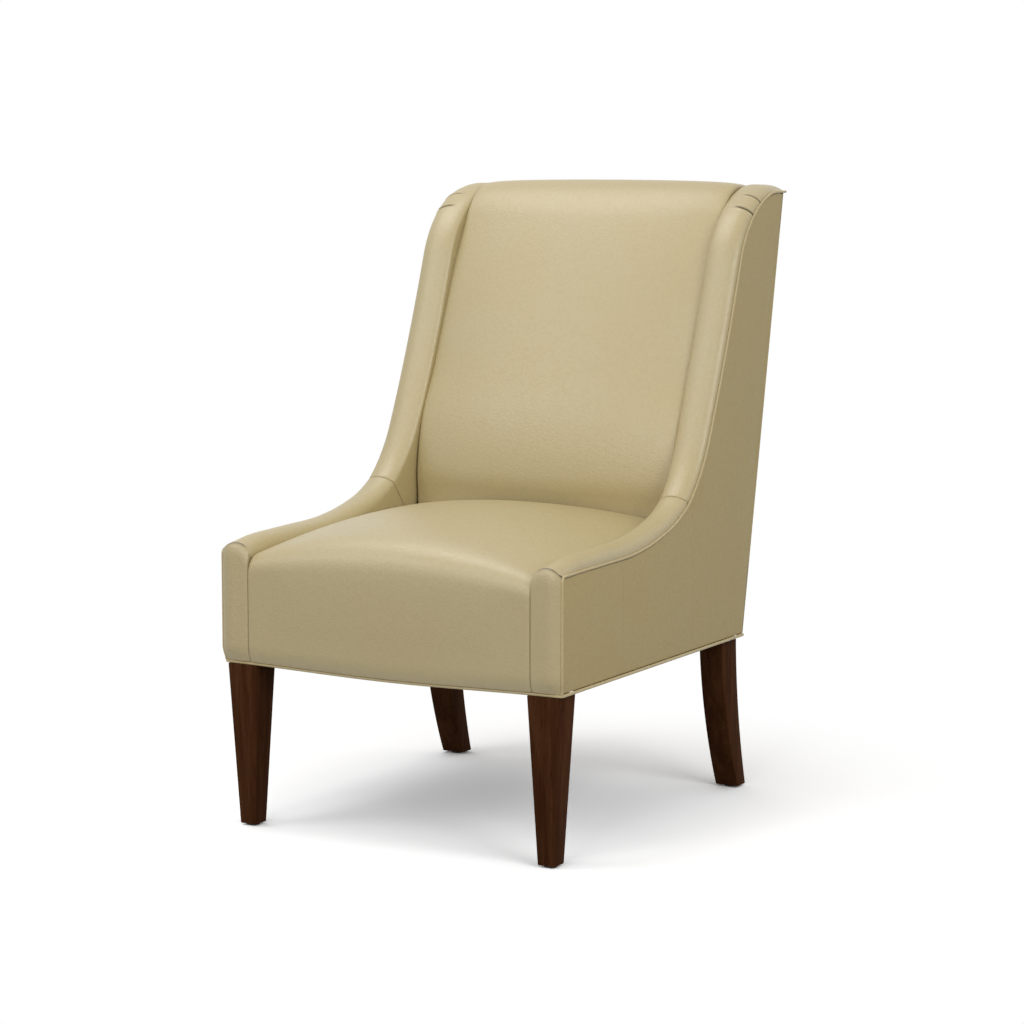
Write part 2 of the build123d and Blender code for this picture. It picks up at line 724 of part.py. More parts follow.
rear_leg -= drill(rear_leg_x, rear_rail_middle, bolt_hole, bolt_low - clearance, leg_height + overrun)
both("rear_leg", rear_leg, pieces)

leg_places = [(side * x, y) for side in (-1, 1)
              for x, y in ((front_leg_x, front_leg_y), (rear_leg_x, rear_rail_middle))]
foot_places = [(side * x, y) for side in (-1, 1)
               for x, y in ((front_leg_x, front_leg_y), (rear_leg_x, (foot_front + foot_rear) / 2))]
pieces["leg_glides"] = Compound([drill(x, y, glide_radius, 0, glide_height) for x, y in foot_places])
pieces["leg_bolts"] = Compound([drill(x, y, bolt_radius, bolt_low, bolt_high) for x, y in leg_places])
insert_top = leg_height + insert_length
pieces["leg_inserts"] = Compound([
    drill(x, y, insert_radius, leg_height, insert_top) - drill(x, y, bolt_hole, 0, arm_height)
    for x, y in leg_places])
for x, y in leg_places:
    socket = drill(x, y, insert_radius + fit_gap, 0, insert_top)
    socket += drill(x, y, bolt_hole, 0, bolt_high + clearance)
    front_rail -= socket
    rear_rail -= socket

# Corner blocks, glued into the corners of the rails
block_base = rail_base + corner_block_raise
for name, corner_y, inward in [("front", front_rail_rear, 1), ("rear", rear_rail_front, -1)]:
    nose, leg = corner_block_nose, corner_block_leg
    plan = [(0, 0), (leg, 0), (leg, nose), (nose, leg), (0, leg)]
    points = [at(corner_y + inward * v, block_base, core_inner - u) for u, v in plan]
    form = extrude(make_face(Polyline(*points, close=True)), amount=corner_block_height, dir=(0, 0, 1))
    both(f"corner_block_{name}", form, pieces)
pieces["front_seat_rail"] = front_rail
pieces["rear_seat_rail"] = rear_rail
both("seat_side_rail", side_rail, pieces)

# Sinuous springs, their clips on the rails, and the burlap over them
spring_front, spring_rear = edge_drop + rail_thickness / 2, rear_rail_middle
spring_pitch = (spring_rear - spring_front) / (spring_bars - 1)
turn_radius = spring_pitch / 2
wire_z = rail_top + clip_thickness + clearance + spring_wire_radius
bar_half = spring_width / 2 - turn_radius
route = []
for bar in range(spring_bars):
    side = 1 if bar % 2 else -1
    y = spring_front + spring_pitch * bar
    route.append((side * bar_half, y))
    route.append((-side * bar_half, y))
    if bar < spring_bars - 1:
        for k in range(1, turn_chords):
            b = radians(180) * k / turn_chords
            route.append((-side * (bar_half + turn_radius * sin(b)), y + turn_radius * (1 - cos(b))))
wire_path = Polyline(*[at(y, wire_z + arch_z(y), x) for x, y in route])
wire_plane = Plane(origin=wire_path @ 0, z_dir=wire_path % 0)
wire = sweep(wire_plane * RegularPolygon(spring_wire_radius, wire_sides), path=wire_path,
             transition=Transition.RIGHT)
spring_middles = [spring_spacing * (k - (spring_count - 1) / 2) for k in range(spring_count)]
pieces["seat_springs"] = Compound([Pos(x, 0, 0) * wire for x in spring_middles])

clip_half = spring_wire_radius + clearance + clip_thickness
hood = block(-clip_width / 2, clip_width / 2, -clip_half, clip_half, rail_top, rail_top + clip_height)
throat = block(-clip_width, clip_width, -spring_wire_radius - clearance, clip_half + overrun,
               rail_top + clip_thickness, rail_top + clip_height - clip_thickness)
clip = hood - throat
rear_clip = Pos(0, 2 * front_line, 0) * Rot(0, 0, 180) * clip
pieces["spring_clips"] = Compound(
    [Pos(x, spring_front, 0) * clip for x in spring_middles]
    + [Pos(x, spring_rear, 0) * rear_clip for x in spring_middles])
burlap_x = seat_half - pad_gap - clearance
burlap_profile = [
    arched_line(spring_front, spring_rear, burlap_seat, -burlap_x),
    Line(at(spring_rear, burlap_seat, -burlap_x),
         at(spring_rear, burlap_seat + burlap_thickness, -burlap_x)),
    arched_line(spring_rear, spring_front, burlap_seat + burlap_thickness, -burlap_x),
    Line(at(spring_front, burlap_seat + burlap_thickness, -burlap_x),
         at(spring_front, burlap_seat, -burlap_x)),
]
pieces["seat_burlap"] = extrude(make_face(burlap_profile), amount=2 * burlap_x, dir=(1, 0, 0))

# Dust cover under the rails, cut out round the legs
cover_half = half_width - dust_cover_inset
dust_cover = block(-cover_half, cover_half, dust_cover_inset, base_depth - dust_cover_inset,
                   leg_height - dust_cover_thickness, leg_height)
cut_low, cut_high = leg_height - overrun, leg_height + overrun
for side in (-1, 1):
    x = side * front_leg_x
    half = front_leg_top / 2 + clearance
    dust_cover -= block(x - half, x + half, front_leg_y - half, front_leg_y + half, cut_low, cut_high)
    x = side * rear_leg_x
    half = rear_leg_width / 2 + clearance
    near, far = rear_leg_front - clearance, rear_leg_rear + overrun
    dust_cover -= block(x - half, x + half, near, far, cut_low, cut_high)
pieces["dust_cover"] = dust_cover

os.makedirs("parts", exist_ok=True)
for name, shape in pieces.items():
    export_step(shape, f"parts/{name}.step")
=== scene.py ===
import json
from math import asin, atan2, ceil, copysign, cos, degrees, exp, pi, radians, sin, sqrt, tan

import bpy
import numpy as np
from mathutils import Matrix, Vector, noise


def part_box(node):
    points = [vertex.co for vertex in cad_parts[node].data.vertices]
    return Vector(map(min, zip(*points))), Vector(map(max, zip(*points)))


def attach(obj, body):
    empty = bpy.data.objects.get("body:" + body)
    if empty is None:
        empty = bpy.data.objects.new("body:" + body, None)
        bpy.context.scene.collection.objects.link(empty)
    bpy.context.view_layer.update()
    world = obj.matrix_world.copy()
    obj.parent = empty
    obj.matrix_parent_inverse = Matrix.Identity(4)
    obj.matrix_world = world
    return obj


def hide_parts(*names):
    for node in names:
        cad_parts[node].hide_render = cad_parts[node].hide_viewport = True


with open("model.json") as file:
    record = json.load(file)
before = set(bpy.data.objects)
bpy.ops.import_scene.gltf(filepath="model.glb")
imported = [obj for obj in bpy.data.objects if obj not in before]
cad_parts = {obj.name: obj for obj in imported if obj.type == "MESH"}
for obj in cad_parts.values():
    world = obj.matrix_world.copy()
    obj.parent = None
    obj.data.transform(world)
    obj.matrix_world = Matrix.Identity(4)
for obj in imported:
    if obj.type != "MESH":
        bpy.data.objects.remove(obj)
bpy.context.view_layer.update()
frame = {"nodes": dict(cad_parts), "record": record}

# An upholstered dining chair in pale leather on dark wooden legs. Metres, +Z up, front towards -Y.
# In profiles, y is measured back from the front welt line and z up from the floor.
# Left and right are as seen from the front, so the right side lies on +X.

SIDES = (("left", -1), ("right", 1))

# Places taken from the frame
welt_low, welt_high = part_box("bottom_welt")
front_line = welt_low.y
half_width = welt_high.x
base_depth = welt_high.y - welt_low.y
leg_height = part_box("front_leg_right")[1].z
panel_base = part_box("outer_side_front_right")[0].z

# The edge line of arm and wing as runs: a length with no turn, or a radius with a turn in degrees
arm_height = leg_height + 0.176
arm_slope = 1
back_rake = 11.1
arm_arcs = [(0.560, 16.5), (0.239, 16), (0.060, 4)]
wing_arcs = [(0.060, 4), (0.265, 23.8), (2.690, 6.3), (0.162, -59.8), (0.060, -11.8)]
tip_run = 0.032
tip_reach = 0.004
corner_radius = 0.008

# The roll's section: x from the middle of the chair, height above the edge line
crown_x, tip_crown_x = 0.2675, 0.250
belly_x, belly_share = 0.2908, 0.15
crown_stops = (0, 0.045, 0.10, 0.28, 0.40, 0.86, 0.93)
crown_sizes = (0.011, 0.0175, 0.0190, 0.0185, 0.0150, 0.0145, 0.0130)
tip_crown = 0.0104
band_crown = crown_sizes[0]
crown_squareness, tip_squareness = 2.4, 2.5
roll_depth_places = (0.36, 0.47, 0.600, 0.628, 0.664)
roll_depths = (0.022, 0.018, 0.0125, 0.0115, 0.0105, 0.0075, 0.0045)
band_edge_x = 0.2893
roll_foot = 0.028
lining = 0.0012
board_x = 0.2722
board_drop = 0.0045
board_inset, board_outer_x = 0.008, 0.2875

# Welts
edge_welt_radius = 0.0020
edge_welt_x = 0.2916
edge_welt_drop = 0.0008
bottom_welt_radius = (welt_high.z - welt_low.z) / 2
bottom_welt_corner = 0.005
base_swell = 0.0025
base_sag = 0.0045

# Leather stretched over the sides and the outside back
side_inner_x = 0.2897
side_edge_x = 0.2908
side_bulge = 0.0016
side_seams = (0.187, 0.419)
seam_depth = 0.0013
seam_reach = 0.003

# The padded front
front_crown = 0.010
draw_in = 0.0065
draw_in_height = 0.027
front_round = 0.022
panel_inner_x = 0.2448

# Seat cushion, at the middle line and beside the arms
seat_half_front, seat_half_rear = 0.2445, 0.2405
seat_crest = (0.485, 0.4455)
seat_rear_top = (0.473, 0.4480)
seat_rear = (0.4405, 0.4675)
nose_top = (0.466, 0.423)
nose_run = (0.054, 0.012)
nose_depth = (0.052, 0.030)
seat_rear_round = 0.012
seat_base = 0.372
apron_rear = 0.004

# Inside back, at the middle line and beside the wings: front places at five heights
back_half = 0.2366
back_heights = (0.473, 0.500, 0.532, 0.594, 0.674, 0.767, 0.861, 0.924)
back_middle = (0.4510, 0.4440, 0.4450, 0.4590, 0.4910, 0.5315, 0.5780, 0.6115)
back_side = (0.4690, 0.4670, 0.4690, 0.4820, 0.5180, 0.5550, 0.5945, 0.6290)
back_top = ((0.693, 0.9820), (0.704, 0.9658))
back_rear_top = (0.9735, 0.9655)
back_tuck = 0.428
seat_crown_share = 0.92
back_crown_share, back_top_share = 0.75, 0.17

# The padding swells past the frame at the front corners, and the rear edge is drawn in at mid height
corner_forward, corner_outward = 0.0042, 0.0024
corner_rise = (0.257, 0.280)
corner_fade = 0.060
waist_in, waist_forward = 0.0020, 0.0030
waist_rise, waist_fall = (0.30, 0.50), (0.80, 0.95)
waist_reach = 0.05


def rear_y(z):
    """The outside back's place at height z."""
    return base_depth + (z - leg_height) * tan(radians(back_rake))


def at(y, z, x=0.0):
    """A point of the chair from its profile place."""
    return Vector((x, front_line + y, z))


def run_length(runs):
    return sum(size * radians(abs(turn)) if turn else size for size, turn in runs)


def walk(runs, start, heading, s):
    """The place and heading, in radians, at a way s along the runs, and straight on past them."""
    y, z = start
    heading = radians(heading)
    for size, turn in runs:
        step = min(s, run_length([(size, turn)]))
        if turn:
            side = copysign(1, turn)
            turned = heading + side * step / size
            y += side * size * (sin(turned) - sin(heading))
            z -= side * size * (cos(turned) - cos(heading))
            heading = turned
        else:
            y, z = y + step * cos(heading), z + step * sin(heading)
        s -= step
        if s <= 0:
            return y, z, heading
    return y + s * cos(heading), z + s * sin(heading), heading


arcs_length = run_length(arm_arcs + wing_arcs)
arcs_end = walk(arm_arcs + wing_arcs, (0, arm_height), arm_slope, arcs_length)
arm_run = (rear_y(arcs_end[1]) - tip_run - arcs_end[0]) / cos(radians(arm_slope))
edge_top = arcs_end[1] + arm_run * sin(radians(arm_slope))
arm_runs = [(arm_run, 0)] + arm_arcs
edge_runs = arm_runs + wing_arcs
kink_way = run_length(arm_runs)
tip_way = run_length(edge_runs)
corner_tangent = corner_radius * tan(radians(90 - arm_slope) / 2)
outline_runs = [
    (arm_height - corner_tangent - panel_base, 0),
    (corner_radius, arm_slope - 90),
    (arm_run - corner_tangent, 0),
] + arm_arcs + wing_arcs


def edge(s):
    """The edge line at a way s from the front corner."""
    return walk(edge_runs, (0, arm_height), arm_slope, s)


edge_ways = np.linspace(0, tip_way + tip_run, 400)
edge_places = np.array([edge(s)[:2] for s in edge_ways])


def way_at(y):
    return float(np.interp(y, edge_places[:, 0], edge_ways))


def eased(x, places, values):
    """A smooth curve through values at places, whose slopes come from the neighbours."""
    slopes = np.gradient(values, places)
    k = int(np.clip(np.searchsorted(places, x) - 1, 0, len(places) - 2))
    h = places[k + 1] - places[k]
    t = min(max((x - places[k]) / h, 0), 1)
    return float((1 + 2 * t) * (1 - t) ** 2 * values[k] + t * (1 - t) ** 2 * h * slopes[k]
                 + t * t * (3 - 2 * t) * values[k + 1] + t * t * (t - 1) * h * slopes[k + 1])


def mix(pair, share):
    """A size between its value at the middle line and its value beside the arms."""
    return pair[1] + (pair[0] - pair[1]) * share


def bow(a, b, c, count):
    """Points on the parabola through three places, from a to c, both included."""
    a, b, c = map(Vector, (a, b, c))
    shares = [k / count for k in range(count + 1)]
    return [a * (1 - t) * (1 - 2 * t) + b * 4 * t * (1 - t) + c * t * (2 * t - 1) for t in shares]


def quarter(a, b, count):
    """A rounded corner that leaves a upright and reaches b level."""
    angles = [radians(90) * k / count for k in range(count + 1)]
    return [Vector((a[0] + (b[0] - a[0]) * (1 - cos(t)), a[1] + (b[1] - a[1]) * sin(t))) for t in angles]


def rounded(a, b, c, d, count):
    """Points on the curve that leaves a towards b and reaches d from c."""
    shares = [k / count for k in range(count + 1)]
    return [a * (1 - t) ** 3 + b * 3 * t * (1 - t) ** 2 + c * 3 * t * t * (1 - t) + d * t ** 3 for t in shares]


def straight(a, b, count):
    a, b = Vector(a), Vector(b)
    return [a + (b - a) * k / count for k in range(count + 1)]


def soft(value, low, high):
    """Rises smoothly from 0 at low to 1 at high."""
    t = min(max((value - low) / (high - low), 0), 1)
    return t * t * (3 - 2 * t)


def swelled(point):
    """A point of the arms and sides, moved out with the padding beneath, and in at the waist of the rear edge."""
    outer = soft(abs(point.x), 0.244, 0.288)
    y = point.y - front_line
    corner = outer * soft(point.z, *corner_rise) * (1 - soft(y, 0, corner_fade))
    waist = outer * soft(point.z, *waist_rise) * (1 - soft(point.z, *waist_fall))
    waist *= 1 - soft(rear_y(point.z) - y, 0, waist_reach)
    out = copysign(1, point.x) * (corner_outward * corner - waist_in * waist)
    return point + Vector((out, -corner_forward * corner - waist_forward * waist, 0))


SEAM_STEPS = (0, 0.0004, 0.0009, 0.0016, 0.003, 0.006)


def stops(length, step, ends=(True, True), also=()):
    """Ways along a length, close together where it ends in a seam and round other named ways."""
    marks = set(np.linspace(0, length, max(2, ceil(length / step)) + 1))
    for near, whether in zip((0, length), ends):
        if whether:
            marks = {m for m in marks if abs(m - near) > SEAM_STEPS[-1] * 1.4}
            marks |= {abs(near - d) for d in SEAM_STEPS}
    for middle in also:
        marks = {m for m in marks if not -0.006 < m - middle < 0.0125}
        marks |= {middle + d for d in np.arange(-0.0055, 0.0121, 0.0005) if 0 < middle + d < length}
    return sorted(float(m) for m in marks)


def dip(distance, depth=seam_depth, reach=seam_reach):
    """How far leather is pulled in at a distance from its seam."""
    return depth * (1 - min(distance / reach, 1)) ** 2


def painted_seam_shade(distance, most=0.5):
    """How much shade is painted into the leather beside a seam, at most in the seam itself."""
    return most * max(0.0, 1 - distance / 0.0014) ** 1.5


# Meshes


def deselect():
    if bpy.context.object and bpy.context.object.mode != "OBJECT":
        bpy.ops.object.mode_set(mode="OBJECT")
    bpy.ops.object.select_all(action="DESELECT")


def choose(piece):
    deselect()
    piece.select_set(True)
    bpy.context.view_layer.objects.active = piece


def skin_over(name, loops, smooth=40, swell=False, painted_shades=None):
    """A closed form: a flat grid whose rows are wrapped into loops, joined and capped."""
    deselect()
    round_count, row_count = len(loops[0]), len(loops) - 1
    bpy.ops.mesh.primitive_grid_add(x_subdivisions=round_count, y_subdivisions=row_count, size=1)
    piece = bpy.context.object
    piece.name = piece.data.name = name
    # Each point stores how much shade is painted into the leather there: in seams, in tucks and along the edges of
    # the front panels.
    crease = piece.data.attributes.new("crease", "FLOAT", "POINT")
    for vertex in piece.data.vertices:
        i = round((vertex.co.x + 0.5) * round_count) % round_count
        j = round((vertex.co.y + 0.5) * row_count)
        vertex.co = swelled(loops[j][i]) if swell else loops[j][i]
        crease.data[vertex.index].value = painted_shades[j][i] if painted_shades else 0
    bpy.ops.object.mode_set(mode="EDIT")
    bpy.ops.mesh.select_all(action="SELECT")
    bpy.ops.mesh.remove_doubles(threshold=1e-6)
    bpy.ops.mesh.fill_holes(sides=0)
    bpy.ops.mesh.select_all(action="SELECT")
    bpy.ops.mesh.normals_make_consistent(inside=False)
    bpy.ops.object.mode_set(mode="OBJECT")
    bpy.ops.object.shade_smooth_by_angle(angle=radians(smooth))
    return piece


def drawn_in(points, depth):
    """A loop of flat points moved inward by a depth for each point."""
    area = sum(a.x * b.y - b.x * a.y for a, b in zip(points, points[1:] + points[:1]))
    turn = copysign(1, area)
    moved = []
    for k, point in enumerate(points):
        way = (points[(k + 1) % len(points)] - points[k - 1])
        normal = Vector((-way.y, way.x)).normalized() * turn if way.length > 0 else Vector((0, 0))
        moved.append(point + normal * depth[k])
    return moved


# Materials


class Value:
    """A shader socket that Python's own sums work on."""

    def __init__(self, finish, socket):
        self.finish = finish
        self.socket = socket

    def sum_of(self, operation, a, b):
        return self.finish.node("Math", {"operation": operation}, {0: a, 1: b})

    def __add__(self, other):
        return self.sum_of("ADD", self, other)

    def __sub__(self, other):
        return self.sum_of("SUBTRACT", self, other)

    def __mul__(self, other):
        return self.sum_of("MULTIPLY", self, other)

    def __rsub__(self, other):
        return self.sum_of("SUBTRACT", other, self)

    def __pow__(self, other):
        return self.sum_of("POWER", self, other)

    __radd__ = __add__
    __rmul__ = __mul__


class Finish:
    """One material and its nodes."""

    def __init__(self, name):
        self.material = bpy.data.materials.new(name)
        self.material.use_nodes = True
        self.tree = self.material.node_tree
        self.tree.nodes.clear()

    def node(self, kind, settings=None, inputs=None, out=0):
        """Adds a node: its settings first, then the values or links of its sockets."""
        node = self.tree.nodes.new("ShaderNode" + kind)
        for name, value in (settings or {}).items():
            if name == "stops":
                ramp = node.color_ramp.elements
                while len(ramp) < len(value):
                    ramp.new(0.5)
                for stop, (place, colour) in zip(ramp, value):
                    stop.position, stop.color = place, colour
            else:
                setattr(node, name, value)
        for name, value in (inputs or {}).items():
            if isinstance(value, Value):
                self.tree.links.new(value.socket, node.inputs[name])
            else:
                node.inputs[name].default_value = value
        return Value(self, node.outputs[out]) if len(node.outputs) else None

    def place(self, scale=(1, 1, 1), turn=(0, 0, 0)):
        """Object coordinates, stretched and turned."""
        here = self.node("TexCoord", out="Object")
        return self.node("Mapping", {}, {"Vector": here, "Scale": scale, "Rotation": turn})

    def cloud(self, where, scale, detail=3.0, roughness=0.5):
        return self.node("TexNoise", {}, {"Vector": where, "Scale": scale, "Detail": detail, "Roughness": roughness})

    def cells(self, where, scale, feature="F1", randomness=1.0):
        return self.node("TexVoronoi", {"feature": feature},
                         {"Vector": where, "Scale": scale, "Randomness": randomness}, out="Distance")

    def ramp(self, value, low, high):
        """Runs from 0 to 1 while value goes from low to high."""
        return self.node("MapRange", {"interpolation_type": "SMOOTHSTEP"},
                         {"Value": value, "From Min": low, "From Max": high})

    def shade(self, share, a, b):
        """A colour between a and b."""
        return self.node("Mix", {"data_type": "RGBA"}, {0: share, 6: a, 7: b}, out=2)

    def shifted(self, where, by, amount):
        """A place moved about by a colour pattern."""
        push = self.node("VectorMath", {"operation": "MULTIPLY_ADD"},
                         {0: by, 1: (amount,) * 3, 2: (-amount / 2,) * 3})
        return self.node("VectorMath", {"operation": "ADD"}, {0: where, 1: push})

    def bump(self, height, distance, strength=1.0, over=None):
        inputs = {"Height": height, "Distance": distance, "Strength": strength}
        if over:
            inputs["Normal"] = over
        return self.node("Bump", {}, inputs)

    def surface(self, **inputs):
        named = {name.replace("_", " "): value for name, value in inputs.items()}
        shader = self.node("BsdfPrincipled", {}, named)
        self.node("OutputMaterial", {}, {"Surface": shader})
        return self.material


def colour(red, green, blue):
    """A colour as the eye reads it, 0 to 255, in the renderer's own light values."""
    return tuple((c / 255 / 12.92 if c < 11 else ((c / 255 + 0.055) / 1.055) ** 2.4)
                 for c in (red, green, blue)) + (1,)


def leather_finish(name, pale, grain=0.42, rough=0.38, gloss=0.9):
    """Full-grain leather: small pebbles, finer pores between them, long soft creases."""
    made = Finish(name)
    where = made.place()
    wander = made.node("TexNoise", {}, {"Vector": where, "Scale": 130.0, "Detail": 2.0}, out="Color")
    loose = made.shifted(where, wander, 0.0022)
    pebbles = 1 - made.ramp(made.cells(loose, 330.0, "SMOOTH_F1"), 0.10, 0.75)
    broad = 1 - made.ramp(made.cells(loose, 170.0, "SMOOTH_F1"), 0.15, 0.80)
    patch = made.ramp(made.cloud(where, 9.0, 2.0), 0.35, 0.68)
    tone = made.cloud(where, 5.0, 3.0, 0.55)
    mottle = made.cloud(where, 60.0, 3.0)
    height = pebbles * 0.60 + broad * (0.12 + patch * 0.14) + mottle * 0.06
    crease = (1 - pebbles) * 0.30 + (1 - broad) * 0.35
    dark = tuple(c * f for c, f in zip(pale[:3], (0.80, 0.77, 0.70))) + (1,)
    warm = tuple(c * f for c, f in zip(pale[:3], (1.02, 0.985, 0.94))) + (1,)
    base = made.shade(made.ramp(tone, 0.30, 0.70), pale, warm)
    base = made.shade(crease * 0.45, base, dark)
    # Painted shade: the colour is darkened towards near black where the piece's points carry painted shade, in seams
    # and tucks, and made a little rougher there.
    painted_shade = made.node("Attribute", {"attribute_name": "crease"}, out="Fac")
    base = made.shade(painted_shade * 0.90, base, tuple(c * f for c, f in zip(pale[:3], (0.12, 0.09, 0.05))) + (1,))
    return made.surface(
        Base_Color=base,
        Roughness=rough - 0.06 + mottle * 0.10 + crease * 0.12 + painted_shade * 0.2,
        Normal=made.bump(height, 0.0010 * grain, 0.6),
        Specular_IOR_Level=gloss,
    )


def wood_finish(name, dark, light, rough=0.45, gloss=0.03, along=(1, 1, 0.06)):
    """Stained wood with grain along the height, pores and a satin lacquer."""
    made = Finish(name)
    where = made.place(scale=along)
    bands = made.cloud(made.place(scale=(along[0], along[1], along[2] * 0.8)), 75.0, 5.0, 0.62)
    pores = made.cloud(where, 520.0, 2.0, 0.5)
    figure = made.ramp(bands, 0.33, 0.70)
    pore = made.ramp(pores, 0.56, 0.74)
    base = made.shade(figure, dark, light)
    base = made.shade(pore * 0.55, base, tuple(c * 0.35 for c in dark[:3]) + (1,))
    return made.surface(
        Base_Color=base,
        Roughness=rough + pore * 0.18 + figure * 0.05,
        Normal=made.bump(bands * 0.4 - pore * 0.6, 0.0003, 0.5),
        Specular_IOR_Level=gloss,
    )


def metal_finish(name, tone, rough):
    made = Finish(name)
    scuff = made.cloud(made.place(scale=(1, 1, 6)), 160.0, 4.0)
    return made.surface(
        Base_Color=made.shade(scuff, tone, tuple(c * 0.7 for c in tone[:3]) + (1,)),
        Metallic=1.0, Roughness=rough + scuff * 0.15, Normal=made.bump(scuff, 0.0001, 0.4))


def cloth_finish(name, tone, threads, rough=0.9):
    """Plain woven cloth."""
    made = Finish(name)
    where = made.place()
    across = made.node("TexWave", {"bands_direction": "X"}, {"Vector": where, "Scale": threads, "Distortion": 0.6})
    along = made.node("TexWave", {"bands_direction": "Y"}, {"Vector": where, "Scale": threads, "Distortion": 0.6})
    weave = across * along
    slub = made.cloud(where, 200.0, 3.0)
    return made.surface(
        Base_Color=made.shade(weave * 0.6 + slub * 0.4, tuple(c * 0.55 for c in tone[:3]) + (1,), tone),
        Roughness=rough - weave * 0.05, Normal=made.bump(weave + slub * 0.4, 0.0004, 0.6))


def plain_finish(name, tone, rough, lumps):
    """Cut foam, nylon or fibre board: an even colour with small lumps."""
    made = Finish(name)
    lump = made.cloud(made.place(), lumps, 3.0)
    return made.surface(
        Base_Color=made.shade(lump, tuple(c * 0.82 for c in tone[:3]) + (1,), tone),
        Roughness=rough - lump * 0.08, Normal=made.bump(lump, 0.0003, 0.5))


leather_tone = colour(186, 171, 128)
leather = leather_finish("leather", leather_tone)
panel_leather = leather_finish("front_panel_leather", leather_tone, grain=0.60)
side_leather = leather_finish("side_leather", colour(190, 173, 127), rough=0.48, gloss=0.15)
# The welts use a lighter copy of the leather: the lighter colour is a painted highlight, so the cords read as light
# lines.
welt_leather = leather_finish("welt_leather", colour(200, 184, 142), grain=0.5, rough=0.38, gloss=0.35)
walnut = wood_finish("walnut", colour(62, 34, 17), colour(84, 52, 31), rough=0.60, gloss=0.02)
frame_wood = wood_finish("frame_wood", colour(176, 138, 92), colour(205, 168, 120), rough=0.6, along=(0.06, 1, 1))
board = plain_finish("fibre_board", colour(150, 120, 82), 0.8, 900.0)
foam = plain_finish("foam", colour(226, 214, 160), 0.92, 700.0)
jute = cloth_finish("jute", colour(168, 132, 86), 120.0)
dust_cloth = cloth_finish("dust_cloth", colour(34, 34, 35), 260.0)
steel = metal_finish("spring_steel", colour(120, 120, 118), 0.34)
zinc = metal_finish("zinc", colour(190, 190, 186), 0.28)
nylon = plain_finish("glide_nylon", colour(28, 28, 28), 0.5, 400.0)


def dress(piece, material, slot, *nodes):
    """Gives a piece its finish and its body, and hides the CAD nodes it stands for. The slot is not used."""
    piece.data.materials.clear()
    piece.data.materials.append(material)
    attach(piece, "root")
    if nodes:
        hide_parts(*nodes)
    return piece


# The padded roll of arm and wing


roll_end = tip_way + tip_run


def crown_at(s):
    """How high the roll stands above the edge line: it rises behind the front seam and falls to the tip."""
    return eased(s, crown_stops + (roll_end,), crown_sizes + (tip_crown,))


def depth_at(s):
    """How far below its crown the roll's inner side turns upright."""
    return eased(s, (0,) + tuple(way_at(y) for y in roll_depth_places) + (roll_end,), roll_depths)


def roll_section(s, inner_x, drop):
    """The roll cut square to the edge line, as a closed loop of x and height."""
    near_tip = soft(s, roll_end - 0.11, roll_end)
    crown, roll_depth = crown_at(s), depth_at(s)
    top_x = crown_x + (tip_crown_x - crown_x) * near_tip
    squareness = crown_squareness + (tip_squareness - crown_squareness) * near_tip
    reach = band_edge_x - top_x
    full = soft(s, 0, 0.05) * (1 - near_tip)
    outer = []
    for k in range(12):
        t = cos(radians(90) * k / 12) ** 0.8
        plain = Vector((top_x + reach * t, crown * (1 - t ** squareness)))
        low = asin(belly_share / (1 - belly_share))
        a = -low + (radians(90) + low) * k / 12
        round_out = Vector((top_x + (belly_x - top_x) * cos(a), crown * (belly_share + (1 - belly_share) * sin(a))))
        outer.append(plain.lerp(round_out, full))
    start = outer[0].x
    tucked = [(start - 0.001, -0.0020), (start, -0.0012), (start + 0.0001, -0.0004)]
    over = []
    for k in range(12):
        b = radians(90) * k / 11
        over.append((top_x - (top_x - inner_x) * sin(b), crown - roll_depth * (1 - cos(b))))
    low = crown - roll_depth
    down = [(inner_x, low + (-drop - low) * k / 7) for k in range(1, 8)]
    hidden = [(inner_x + lining, -drop), (inner_x + lining, -roll_foot + 0.0005), (board_x, -roll_foot + 0.0005),
              (board_x, -board_drop), (start - 0.001, -board_drop)]
    return [Vector(p) for p in tucked + outer + over + down + hidden]


visible_count = 3 + 12 + 12 + 7


def inner_x_at(s):
    return eased(s, (0, 0.12, kink_way, kink_way + 0.11, tip_way + tip_run), (0.245, 0.2413, 0.2410, 0.2368, 0.2368))


def drop_at(s):
    """How far the roll's inner side reaches down: to the seat near the kink."""
    places = (0, kink_way - 0.16, kink_way - 0.02, kink_way + 0.03, kink_way + 0.14, tip_way + tip_run)
    return eased(s, places, (roll_foot, roll_foot, 0.068, 0.072, roll_foot, roll_foot))


def roll_loop(side, s, seam_distance, tucks=()):
    """The roll's loop at a way s along the edge line."""
    section = roll_section(s, inner_x_at(s), drop_at(s))
    depth, painted_shades = [], []
    for k, point in enumerate(section):
        # Painted shade: the leather is darkened beside the roll's seams, most at the arm's front end, and in each
        # tuck by its depth.
        shade = painted_seam_shade(seam_distance, 0.9 if s < 0.01 else 0.5)
        inward = dip(seam_distance, 0.0018) if k < visible_count else 0
        if 1 < k < visible_count:
            fade = soft(point.x, crown_x - 0.014, crown_x + 0.002)
            for tuck in tucks:
                away = s - tuck - tuck_slant * (half_width - 0.004 - point.x) / 0.024
                groove = fade * exp(-(away / (0.0009 + 0.0006 * fade)) ** 2)
                inward += 0.0034 * groove - 0.0009 * fade * exp(-((abs(away) - 0.0036) / 0.0018) ** 2)
                shade = max(shade, min(groove * 1.7, 1))
        depth.append(inward)
        painted_shades.append(shade)
    section = drawn_in(section, depth)
    y, z, heading = edge(min(s, tip_way))
    points = []
    for p in section:
        low_y, low_z = y - p.y * sin(heading), z + p.y * cos(heading)
        if s > tip_way:
            share = (s - tip_way) / tip_run
            end = rear_y(low_z) + tip_reach * min(max((p.y + 0.004) / 0.006, 0), 1) - 0.005 * (p.y < -0.004)
            low_y += (end - low_y) * share
        points.append(at(low_y, low_z, side * p.x))
    return points, painted_shades


